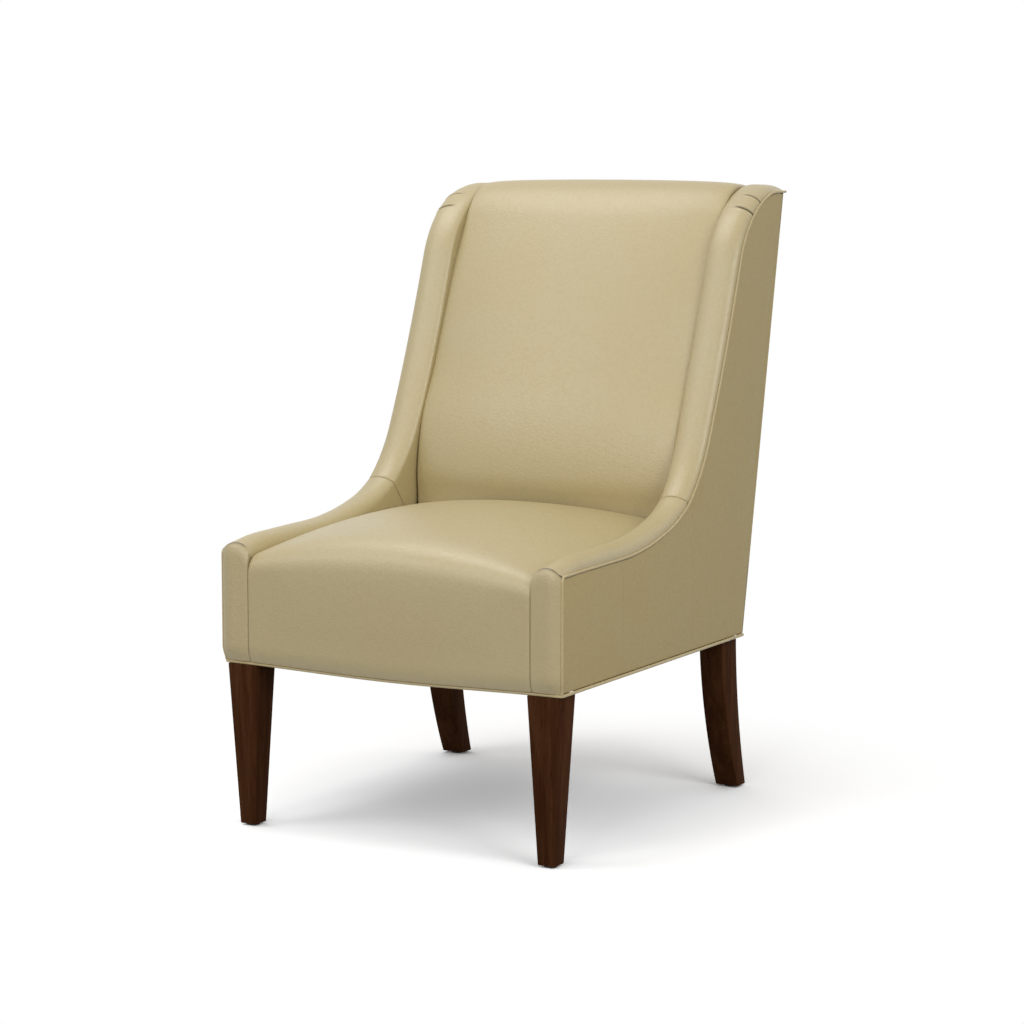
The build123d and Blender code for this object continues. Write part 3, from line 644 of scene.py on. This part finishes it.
tuck_slant = 0.006
wing_tucks = {"left": (0.655, 0.628), "right": (0.658, 0.631)}
for hand, side in SIDES:
    ways = stops(kink_way, 0.009)
    loops, painted_shades = zip(*(roll_loop(side, s, min(s, kink_way - s)) for s in ways))
    arm_roll = skin_over(f"arm_roll_{hand}", loops, swell=True, painted_shades=painted_shades)
    dress(arm_roll, leather, "leather", f"arm_band_{hand}", f"arm_pad_{hand}", f"inside_arm_{hand}")

    tucks = [way_at(y) for y in wing_tucks[hand]]
    length = tip_way + tip_run - kink_way
    ways = stops(length, 0.009, also=[tuck - kink_way for tuck in tucks])
    loops, painted_shades = zip(*(roll_loop(side, kink_way + s, min(s, length - s), tucks) for s in ways))
    wing_roll = skin_over(f"wing_roll_{hand}", loops, swell=True, painted_shades=painted_shades)
    dress(wing_roll, leather, "leather", f"wing_band_{hand}", f"wing_pad_{hand}")


# Welts


def tube(name, path, radius, count=12, swell=False):
    """A cord through places with a sideways and an upright direction each."""
    loops = []
    for centre, out, up in path:
        ring = [2 * pi * k / count for k in range(count)]
        loops.append([centre + out * (radius * cos(a)) + up * (radius * sin(a)) for a in ring])
    return skin_over(name, loops, smooth=60, swell=swell)


for hand, side in SIDES:
    whole = run_length(outline_runs)
    path = []
    for s in stops(whole, 0.004, ends=(False, False)) + [whole + tip_run * k / 8 for k in range(1, 9)]:
        y, z, heading = walk(outline_runs, (0, panel_base), 90, min(s, whole))
        if s > whole:
            end = rear_y(z) + tip_reach
            y += (end - y) * (s - whole) / tip_run
        z -= 0.001 * (s == 0)
        centre = at(y + edge_welt_drop * sin(heading), z - edge_welt_drop * cos(heading), side * edge_welt_x)
        path.append((centre, Vector((side, 0, 0)), Vector((0, -sin(heading), cos(heading)))))
    piping = tube(f"side_piping_{hand}", path, edge_welt_radius, swell=True)
    dress(piping, welt_leather, "welt_leather", f"edge_welt_{hand}")


def sag(x):
    """How far the base's front line hangs below its ends."""
    return base_sag * cos(pi * x / (2 * half_width)) ** 2


def welt_ring():
    """The cord round the base: its centre line with an outward and an upright direction."""
    inset = bottom_welt_radius + bottom_welt_corner - base_swell
    corners = [(half_width - inset, inset), (half_width - inset, base_depth - inset),
               (inset - half_width, base_depth - inset), (inset - half_width, inset)]
    z = (welt_low.z + welt_high.z) / 2
    path = []
    for k, (x, y) in enumerate(corners):
        for step in range(9):
            a = radians(-90 + 90 * k + 90 * step / 8)
            out = Vector((cos(a), sin(a), 0))
            path.append((at(y, z, x) + out * bottom_welt_corner, out, Vector((0, 0, 1))))
        nx, ny = corners[(k + 1) % 4]
        out = path[-1][1]
        start, end = path[-1][0], at(ny, z, nx) + out * bottom_welt_corner
        for step in range(1, 30):
            place = start + (end - start) * step / 30
            path.append((place - Vector((0, 0, sag(place.x) * (k == 3))), out, Vector((0, 0, 1))))
    return path + path[:1]


dress(tube("base_piping", welt_ring(), bottom_welt_radius, 14), welt_leather, "welt_leather", "bottom_welt")


# Side leather: three panels a side, sewn upright


def side_x(below_edge, above_base, seam_distance, rear_distance):
    """How far out the side leather stands, drawn in at its seams and borders."""
    rise = min(1, below_edge / 0.045) * min(1, above_base / 0.05) * min(1, rear_distance / 0.05)
    x = side_edge_x + side_bulge * sin(radians(90) * rise) ** 0.8
    x -= 0.0005 * exp(-(seam_distance / 0.010) ** 2) + dip(seam_distance, 0.0004)
    return x - dip(above_base, 0.0005) - dip(rear_distance, 0.0012, 0.005)


def side_panel(hand, side, name, first, last):
    """One panel between two uprights, cut from the base to the edge line. The rear one fans to the rake."""
    front = first or 0.0035
    rear = last or rear_y(panel_base) - 0.0022
    top_front, top_rear = way_at(front), way_at(last) if last else roll_end
    loops, seam_painted_shades = [], []
    for along in stops(top_rear - top_front, 0.010):
        share = along / (top_rear - top_front)
        low = Vector((front + (rear - front) * share, panel_base))
        if last:
            high = Vector((low.x, float(np.interp(low.x, edge_places[:, 0], edge_places[:, 1])) - board_drop))
        else:
            y, z, heading = edge(min(top_front + along, tip_way))
            high = Vector((y + board_drop * sin(heading), z - board_drop * cos(heading)))
            high.x -= board_drop * sin(edge(top_front)[2]) * max(1 - along / 0.10, 0)
            past = max(top_front + along - tip_way, 0) / tip_run
            high.x += (rear_y(high.y) - 0.0022 - high.x) * past
        loop = []
        height = (high - low).length
        for t in stops(height, 0.020):
            p = low + (high - low) * t / height
            seam_distance = min([abs(p.x - seam) for seam in (first, last) if seam] + [1])
            rear_distance = 1 if last else max(rear_y(p.y) - 0.0022 - p.x, 0)
            loop.append(at(p.x, p.y, side * side_x(height - t, t, seam_distance, rear_distance)))
        loop.append(at(high.x, high.y, side * side_inner_x))
        loop.append(at(low.x, low.y, side * side_inner_x))
        loops.append(loop)
        # Painted shade: the leather is darkened a little towards the panel's upright seams.
        ends = [along if first else 1, top_rear - top_front - along if last else 1]
        seam_painted_shades.append(painted_seam_shade(min(ends), 0.14))
    count = max(len(loop) for loop in loops)
    loops = [even(loop, count) for loop in loops]
    painted_shades = [[seam] * count for seam in seam_painted_shades]
    return skin_over(f"side_leather_{name}_{hand}", loops, smooth=35, swell=True, painted_shades=painted_shades)


def even(loop, count):
    """A loop with as many points as the others, more of them along its outside."""
    face, back = loop[:-2], loop[-2:]
    ways = [0.0]
    for a, b in zip(face, face[1:]):
        ways.append(ways[-1] + (b - a).length)
    inner = len(SEAM_STEPS)
    middle = np.linspace(ways[inner], ways[-1 - inner], count - 2 - 2 * inner)
    marks = ways[:inner] + list(middle) + ways[-inner:]
    points = [Vector([np.interp(m, ways, [p[axis] for p in face]) for axis in range(3)]) for m in marks]
    return points + back


for hand, side in SIDES:
    for name, first, last in (("front", 0, side_seams[0]), ("middle", *side_seams), ("rear", side_seams[1], None)):
        panel = side_panel(hand, side, name, first, last)
        dress(panel, side_leather, "leather", f"outer_side_{name}_{hand}")


def side_frame(hand, side):
    """The board inside a side, cut a little inside the edge line."""
    loops = []
    for s in np.linspace(0.004, tip_way + tip_run * 0.5, 70):
        y, z, heading = edge(min(s, tip_way))
        y = min(max(y + board_inset * sin(heading) + max(s - tip_way, 0), 0.006), rear_y(z) - board_inset)
        top = at(y, z - board_inset * cos(heading))
        foot = at(min(y, rear_y(panel_base) - board_inset), panel_base)
        loops.append([p + Vector((side * x, 0, 0)) for p, x in
                      ((top, board_x), (foot, board_x), (foot, board_outer_x), (top, board_outer_x))])
    return skin_over(f"side_frame_{hand}", loops)


def rear_board():
    """The stiff board under the outside back, which follows the waist of its edges."""
    loops = []
    for z in np.linspace(panel_base + 0.001, 0.955, 30):
        face = rear_y(z) - waist_forward * soft(z, *waist_rise) * (1 - soft(z, *waist_fall)) - 0.0018
        corners = ((-1, 0), (1, 0), (1, -0.003), (-1, -0.003))
        loops.append([at(face + back, z, side * (board_outer_x - 0.002)) for side, back in corners])
    return skin_over("rear_board", loops)


for hand, side in SIDES:
    dress(side_frame(hand, side), frame_wood, "frame_wood", f"side_board_{hand}")
dress(rear_board(), board, "back_board", "outside_back_board")


# Padded front panels


def front_panel(hand, side):
    """The padded leather on the front of an arm, in level loops from the bottom to its arched top."""
    reach = half_width - crown_x
    radius = (reach ** 2 + front_crown ** 2) / (2 * front_crown)
    draw_radius = (draw_in ** 2 + draw_in_height ** 2) / (2 * draw_in)
    outer_x = edge_welt_x - 0.0012

    def arch(x):
        """The arched seam's height at a width x."""
        if x > crown_x:
            part = min((x - crown_x) / (band_edge_x - crown_x), 1)
            rise = band_crown * (1 - part ** crown_squareness)
        else:
            part = min((crown_x - x) / (crown_x - panel_inner_x), 1)
            rise = band_crown - roll_depths[0] * (1 - sqrt(max(1 - part ** 2, 0)))
        return arm_height + rise

    columns = stops(outer_x - panel_inner_x, 0.0025)
    rows = stops(1, 0.02, ends=(False, False))
    loops, painted_shades = [], []
    for share in rows:
        loop, shade = [], []
        for along in columns:
            x = panel_inner_x + along
            top = arch(x)
            spread = 1 - (1 - share) ** 1.6
            z = panel_base + (top - panel_base) * spread
            depth = front_crown
            if x > crown_x:
                depth -= radius - sqrt(radius ** 2 - (x - crown_x) ** 2)
            below = top - z
            if below < front_round:
                depth *= sqrt(max(1 - (1 - below / front_round) ** 2, 0))
            height = z - panel_base
            if height < draw_in_height:
                lift = draw_in_height - height
                depth *= 1 - (draw_radius - sqrt(draw_radius ** 2 - lift ** 2)) / front_crown
            depth -= dip(along, 0.0016, 0.004) + dip(outer_x - panel_inner_x - along, 0.0008)
            loop.append(at(-max(depth, -0.001), z, side * x))
            # Painted shade: the leather is darkened along the arched top seam and beside the inner seam, and fully
            # at the hidden back points, so the panel's edges read dark.
            arch_seam_painted_shade = painted_seam_shade(below * 0.35, 1) * soft(x, panel_inner_x + 0.004, panel_inner_x + 0.012)
            shade.append(max(painted_seam_shade(along, 0.4), arch_seam_painted_shade))
        loop.append(at(0.0035, loop[-1].z, side * outer_x))
        loop.append(at(0.0035, loop[0].z, side * panel_inner_x))
        loops.append(loop)
        painted_shades.append(shade + [1, 1])
    return skin_over(f"arm_front_{hand}", loops, smooth=50, swell=True, painted_shades=painted_shades)


for hand, side in SIDES:
    panel = front_panel(hand, side)
    dress(panel, panel_leather, "leather", f"front_panel_{hand}", f"front_pad_{hand}")


# Seat cushion


def draw_in_curve():
    """The front's lowest stretch, which curves in to the bottom welt."""
    radius = (draw_in ** 2 + draw_in_height ** 2) / (2 * draw_in)
    points = []
    for k in range(9):
        height = draw_in_height * k / 8
        lift = draw_in_height - height
        points.append(Vector((-front_crown + radius - sqrt(radius ** 2 - lift ** 2), panel_base + height)))
    return points


def seat_profile(share):
    """The seat cushion cut front to back: the face from the bottom welt over the top to the back."""
    top, run, deep = mix(nose_top, share), mix(nose_run, share), mix(nose_depth, share)
    rear, rear_top = mix(seat_rear, share), mix(seat_rear_top, share)
    foot = Vector((-front_crown, top - deep))
    points = draw_in_curve()
    points += straight(points[-1], foot, 9)[1:]
    top = Vector((run, top))
    over = bow(top, ((run + rear) / 2, mix(seat_crest, share)), (rear - seat_rear_round, rear_top), 34)
    lean = (over[1] - over[0]).normalized()
    points += rounded(foot, foot + Vector((0, deep * 0.56)), top - lean * (run + front_crown) * 0.56, top, 14)[1:]
    points += over[1:]
    turn = quarter((rear, rear_top - seat_rear_round), (rear - seat_rear_round, rear_top), 5)
    points += turn[::-1][1:]
    points += straight((rear, rear_top - seat_rear_round), (rear, seat_base), 5)[1:]
    return points


def crown_stations(half, step, power):
    """Places across a cushion, close together beside its seams, with their shares of the crown."""
    places = [way - half for way in stops(2 * half, step)]
    return [(x, max(1 - (x / half) ** 2, 0) ** power) for x in places]


def seat_cushion():
    loops, painted_shades = [], []
    for x, share in crown_stations(seat_half_front, 0.010, seat_crown_share):
        face = seat_profile(share)
        under = [Vector((apron_rear, seat_base)), Vector((apron_rear, panel_base))]
        loop = drawn_in(face + under, [dip(seat_half_front - abs(x), 0.0016, 0.004)] * len(face) + [0, 0])
        points = []
        for p in loop:
            narrow = np.interp(p.x, (0, base_depth * 0.7), (1, seat_half_rear / seat_half_front))
            low = sag(x) * (1 - soft(p.y, panel_base, panel_base + 0.05)) * (p.x < 0.003)
            points.append(at(p.x, p.y - low, x * narrow))
        loops.append(points)
        # Painted shade: the leather is darkened towards its side seams beside the arms.
        painted_shades.append([painted_seam_shade(seat_half_front - abs(x))] * len(loop))
    return skin_over("seat_cushion", loops, smooth=50, painted_shades=painted_shades)


seat = seat_cushion()


# Inside back


def post_y(z):
    """The plane of webbing and posts behind the inside back."""
    beam_low, beam_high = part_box("back_top_beam")
    slope = tan(radians(22.5))
    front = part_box("back_post_right")[1].y - front_line
    return 0.6901 - (0.9347 - z) * slope


def back_profile(share, top_share):
    """The inside back cut front to back, as a closed loop that laps over the top beam."""
    heights = np.linspace(back_heights[0], back_heights[-1], 34)
    middle = [eased(z, back_heights, back_middle) for z in heights]
    side = [eased(z, back_heights, back_side) for z in heights]
    face = [Vector((mix((m, s), share), z)) for m, s, z in zip(middle, side, heights)]
    points = straight((face[0].x, back_tuck), face[0], 3)[:-1] + face
    top = Vector((mix([b[0] for b in back_top], top_share), mix([b[1] for b in back_top], top_share)))
    slope = (face[-1] - face[-2]).normalized()
    reach = (top.x - face[-1].x)
    hinge = face[-1] + slope * ((top.y - face[-1].y) * 0.62)
    knee = Vector((top.x - reach * 0.42, top.y))
    points += rounded(face[-1], hinge, knee, top, 16)[1:]
    rear_z = mix(back_rear_top, top_share)
    rear = Vector((rear_y(rear_z) - 0.0018, rear_z))
    points += [top + (rear - top) * t + Vector((0, (top.y - rear.y) * t * (1 - t))) for t in
               (0.2, 0.4, 0.6, 0.8, 0.92, 1)]
    points += [Vector((rear_y(z) - inset, z)) for z, inset in ((0.9588, 0.0018), (0.9588, 0.0050), (0.9385, 0.0050))]
    points += straight((post_y(0.9385) - 0.0034, 0.9385), (post_y(back_tuck) - 0.0034, back_tuck), 6)
    return points, 3 + 34 + 16 + 6


def back_cushion():
    loops, painted_shades = [], []
    for x, share in crown_stations(back_half, 0.010, back_crown_share):
        loop, shown = back_profile(share, share ** (back_top_share / back_crown_share))
        inward = dip(back_half - abs(x), 0.0014, 0.004)
        depth = [inward] * shown + [0] * (len(loop) - shown)
        loops.append([at(p.x, p.y, x) for p in drawn_in(loop, depth)])
        # Painted shade: the leather is darkened towards its side seams beside the wings.
        painted_shades.append([painted_seam_shade(back_half - abs(x), 0.5)] * len(loop))
    return skin_over("inside_back_cushion", loops, smooth=50, painted_shades=painted_shades)


back = back_cushion()


def puff(piece, hold, pressure, most):
    """Lets the filling press the leather out: cloth with pressure, held where hold says, for 20 frames."""
    choose(piece)
    rest = np.array([v.co for v in piece.data.vertices])
    held = piece.vertex_groups.new(name="held")
    for vertex in piece.data.vertices:
        held.add([vertex.index], hold(vertex.co), "REPLACE")
    cloth = piece.modifiers.new("filling", "CLOTH")
    cloth.settings.quality = 4
    cloth.settings.mass = 0.4
    cloth.settings.tension_stiffness = cloth.settings.compression_stiffness = 30
    cloth.settings.shear_stiffness = 20
    cloth.settings.bending_stiffness = 8
    cloth.settings.use_pressure = True
    cloth.settings.uniform_pressure_force = pressure
    cloth.settings.effector_weights.gravity = 0
    cloth.settings.vertex_group_mass = "held"
    cloth.point_cache.frame_start, cloth.point_cache.frame_end = 1, 20
    for step in range(1, 21):
        bpy.context.scene.frame_set(step)
    bpy.ops.object.modifier_apply(modifier="filling")
    bpy.context.scene.frame_set(1)
    piece.vertex_groups.clear()
    for vertex, place in zip(piece.data.vertices, rest):
        move = Vector(vertex.co) - Vector(place)
        if move.length > 0:
            vertex.co = Vector(place) + move * (most * (1 - exp(-move.length / most)) / move.length)


def seat_hold(place):
    """1 where the seat's leather is sewn or out of sight, 0 in the middle of its top."""
    y, z, x = place.y - front_line, place.z, abs(place.x)
    near = min(seat_half_rear - x, 0.43 - y, (z - panel_base) if y < 0.02 else 1)
    return 1.0 if near < 0.012 or (y > 0.02 and z < 0.42) else max(0.0, 1 - near / 0.07) * 0.9


def back_hold(place):
    y, z, x = place.y - front_line, place.z, abs(place.x)
    hidden = y > post_y(z) - 0.012 and z < 0.95
    near = min(back_half - x, z - 0.47, rear_y(z) - 0.02 - y)
    return 1.0 if hidden or near < 0.012 else max(0.0, 1 - near / 0.07) * 0.9


puff(seat, seat_hold, 1.2, 0.003)
puff(back, back_hold, 1.0, 0.002)
dress(seat, leather, "leather", "seat_cover", "seat_foam", "front_rail_padding")
dress(back, leather, "leather", "back_cover", "back_foam")


# Outside back


def outside_back():
    """Leather over the rear, a little crowned, whose top follows wings and back."""
    half = edge_welt_x - 0.0012
    section = roll_section(roll_end, 0.2355, roll_foot)[:27]
    known = sorted((p.x, p.y) for p in section if p.x <= half)
    loops = []
    for along in stops(2 * half, 0.012):
        x = along - half
        if abs(x) > 0.2365:
            top = edge_top + float(np.interp(abs(x), [k[0] for k in known], [k[1] for k in known]))
        else:
            share = max(1 - (x / back_half) ** 2, 0) ** back_top_share
            top = mix(back_rear_top, share)
        height = top - panel_base
        loop = []
        for t in stops(height, 0.024):
            z = panel_base + t
            borders = min(half - abs(x), t, height - t)
            rise = min(1, borders / 0.09)
            out = 0.0024 * sin(radians(90) * rise) - dip(borders, 0.0012)
            loop.append(at(rear_y(z) + out, z, x))
        loop.append(at(rear_y(top) - 0.0014, top, x))
        loop.append(at(rear_y(panel_base) - 0.0014, panel_base, x))
        loops.append(loop)
    count = max(len(loop) for loop in loops)
    return skin_over("rear_leather", [even(loop, count) for loop in loops], smooth=40, swell=True)


dress(outside_back(), side_leather, "leather", "outside_back")


# Legs and glides


def leg_finish_edges(piece, radius):
    """Rounds a leg's long edges."""
    choose(piece)
    bevel = piece.modifiers.new("edges", "BEVEL")
    bevel.width, bevel.segments, bevel.limit_method, bevel.angle_limit = radius, 3, "ANGLE", radians(40)
    bpy.ops.object.modifier_apply(modifier="edges")
    bpy.ops.object.shade_smooth_by_angle(angle=radians(35))


def foot_plate(x, y, wide, deep):
    """The flat underside that a leg is drawn up from."""
    deselect()
    bpy.ops.mesh.primitive_plane_add(size=1, location=at(y, glide_height, x))
    bpy.ops.object.mode_set(mode="EDIT")
    bpy.ops.mesh.select_all(action="SELECT")
    bpy.ops.transform.resize(value=(wide, deep, 1), center_override=at(y, glide_height, x))
    return bpy.context.object


def draw_up(x, y, z, move, wider, deeper):
    """Extrudes the selected end by a move and sizes it about its new middle."""
    bpy.ops.mesh.extrude_region_move(TRANSFORM_OT_translate={"value": move})
    bpy.ops.transform.resize(value=(wider, deeper, 1), center_override=at(y, z, x))


def finished_leg(leg, name, node):
    bpy.ops.mesh.select_all(action="SELECT")
    bpy.ops.mesh.normals_make_consistent(inside=False)
    bpy.ops.object.mode_set(mode="OBJECT")
    bpy.ops.object.transform_apply(location=True, rotation=True, scale=True)
    leg.name = leg.data.name = name
    leg_finish_edges(leg, 0.0016)
    dress(leg, walnut, "walnut", node)


glide_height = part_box("leg_glides")[1].z
leg_rise = leg_height - glide_height
leg_foot = 0.0286
rear_leg_top = (0.553, 0.608)
front_bow, rear_bow = 0.012, 0.0085
for hand, side in SIDES:
    low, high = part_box(f"front_leg_{hand}")
    x, y, top = (low.x + high.x) / 2, (low.y + high.y) / 2 - front_line, high.x - low.x
    leg = foot_plate(x, y, leg_foot, leg_foot)
    draw_up(x, y, leg_height, (0, 0, leg_rise), top / leg_foot, top / leg_foot)
    finished_leg(leg, f"tapered_leg_{hand}", f"front_leg_{hand}")

    low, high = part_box(f"rear_leg_{hand}")
    x, wide = (low.x + high.x) / 2, high.x - low.x
    foot = (high.y - front_line - 0.029, high.y - front_line)
    places = []
    for k in range(17):
        t = k / 16
        front = mix((rear_leg_top[0], foot[0]), t) - 4 * front_bow * t * (1 - t)
        rear = mix((rear_leg_top[1], foot[1]), t) - 4 * rear_bow * t * (1 - t)
        places.append(((front + rear) / 2, glide_height + leg_rise * t, rear - front))
    leg = foot_plate(x, places[0][0], wide, places[0][2])
    for (y0, z0, deep0), (y1, z1, deep1) in zip(places, places[1:]):
        draw_up(x, y1, z1, (0, y1 - y0, z1 - z0), 1, deep1 / deep0)
    finished_leg(leg, f"sabre_leg_{hand}", f"rear_leg_{hand}")


# Dust cover


def dust_sheet():
    """Black cloth stapled under the rails, which sags a little."""
    low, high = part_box("dust_cover")
    loops = []
    for v in np.linspace(0, 1, 31):
        y = low.y + (high.y - low.y) * v
        inset = 0.056 if v < 0.085 or v > 0.92 else 0.0
        xs = np.linspace(low.x + inset, high.x - inset, 29)
        sag = [0.003 * sin(pi * v) * cos(pi * x / (high.x - low.x)) for x in xs]
        lower = [Vector((x, y, low.z - d)) for x, d in zip(xs, sag)]
        loops.append(lower + [p + Vector((0, 0, 0.0008)) for p in reversed(lower)])
    return skin_over("under_seat_cloth", loops, smooth=60)


cover = dress(dust_sheet(), dust_cloth, "dust_cloth", "dust_cover")


# Finishes of the frame's own nodes, most of which the leather hides
node_finishes = {
    "frame_wood": frame_wood, "back_board": board, "foam": foam, "jute": jute, "spring_steel": steel,
    "zinc": zinc, "glide": nylon, "walnut": walnut, "leather": leather, "welt_leather": welt_leather,
    "dust_cloth": dust_cloth,
}
slot_of = {part["node"]: part["material_slot"] for part in frame["record"]["subparts"]}
for node, piece in frame["nodes"].items():
    piece.data.materials.clear()
    piece.data.materials.append(node_finishes[slot_of[node]])


# Floor, light and camera


def floor_finish():
    """A pale floor that keeps the chair's shadow and fades to plain white further off."""
    made = Finish("floor")
    path = made.tree.nodes.new("ShaderNodeLightPath")
    seen = Value(made, path.outputs["Is Camera Ray"]) + Value(made, path.outputs["Is Glossy Ray"])
    seen = made.node("Math", {"operation": "MINIMUM"}, {0: seen + Value(made, path.outputs["Is Transmission Ray"]), 1: 1.0})
    plain = made.node("BsdfDiffuse", {}, {"Color": (0.28, 0.275, 0.265, 1)})
    shadowed = made.node("BsdfDiffuse", {}, {"Color": (0.74, 0.74, 0.74, 1)})
    brighter = made.node("BsdfDiffuse", {}, {"Color": (0.74, 0.74, 0.74, 1)})
    lift = made.node("Emission", {}, {"Color": (1, 1, 1, 1), "Strength": 0.03})
    near = made.node("AddShader", {}, {0: made.node("AddShader", {}, {0: shadowed, 1: brighter}), 1: lift})
    white = made.node("Emission", {}, {"Color": (1, 1, 1, 1), "Strength": 1.0})
    far = made.node("VectorMath", {"operation": "LENGTH"}, {0: made.node("TexCoord", out="Object")}, out="Value")
    shown = made.node("MixShader", {}, {0: made.ramp(far, 0.36, 0.95), 1: near, 2: white})
    both = made.node("MixShader", {}, {0: seen, 1: plain, 2: shown})
    made.node("OutputMaterial", {}, {"Surface": both})
    return made.material


deselect()
bpy.ops.mesh.primitive_plane_add(size=30, location=(0, 0, 0))
floor = bpy.context.object
floor.name = "floor"
floor.data.materials.append(floor_finish())

world = bpy.data.worlds.new("studio")
bpy.context.scene.world = world
world.use_nodes = True
tree = world.node_tree
tree.nodes.clear()
path = tree.nodes.new("ShaderNodeLightPath")
seen = tree.nodes.new("ShaderNodeMath")
seen.operation = "MAXIMUM"
glossy = tree.nodes.new("ShaderNodeMath")
glossy.operation = "MAXIMUM"
tree.links.new(path.outputs["Is Glossy Ray"], glossy.inputs[0])
tree.links.new(path.outputs["Is Transmission Ray"], glossy.inputs[1])
tree.links.new(path.outputs["Is Camera Ray"], seen.inputs[0])
tree.links.new(glossy.outputs[0], seen.inputs[1])
room, backdrop = tree.nodes.new("ShaderNodeBackground"), tree.nodes.new("ShaderNodeBackground")
room.inputs["Color"].default_value = (1, 1, 1, 1)
room.inputs["Strength"].default_value = 0.48
backdrop.inputs["Color"].default_value = (1, 1, 1, 1)
backdrop.inputs["Strength"].default_value = 1.0
chosen = tree.nodes.new("ShaderNodeMixShader")
tree.links.new(seen.outputs[0], chosen.inputs[0])
tree.links.new(room.outputs[0], chosen.inputs[1])
tree.links.new(backdrop.outputs[0], chosen.inputs[2])
tree.links.new(chosen.outputs[0], tree.nodes.new("ShaderNodeOutputWorld").inputs["Surface"])


def soft_box(name, place, aim, size, power):
    """A square studio light that faces a point."""
    deselect()
    bpy.ops.object.light_add(type="AREA", location=place)
    lamp = bpy.context.object
    lamp.name = name
    lamp.data.shape = "SQUARE"
    lamp.data.size = size
    lamp.data.energy = power
    lamp.rotation_euler = (Vector(aim) - Vector(place)).to_track_quat("-Z", "Y").to_euler()


soft_box("overhead_light", (-0.70, -0.10, 2.4), (0, 0.05, 0.5), 1.1, 10.5)
soft_box("front_light", (0.2, -2.5, 1.7), (0, 0, 0.6), 1.5, 15)
soft_box("left_light", (-1.2, -1.5, 1.9), (0, 0.1, 0.65), 0.9, 6)
soft_box("right_light", (2.5, -1.1, 1.8), (0, 0, 0.55), 1.5, 25)

camera_place, camera_aim = Vector((2.1896, -3.8439, 1.0262)), Vector((0.00404, -0.0660, 0.46861))
deselect()
bpy.ops.object.camera_add(location=camera_place)
camera = bpy.context.object
camera.rotation_euler = (camera_aim - camera_place).to_track_quat("-Z", "Y").to_euler()
camera.data.sensor_width = 36
camera.data.lens = 99.24
camera.data.shift_x, camera.data.shift_y = 0.0178, 0.0012
bpy.context.scene.camera = camera
bpy.context.scene.view_settings.view_transform = "Standard"
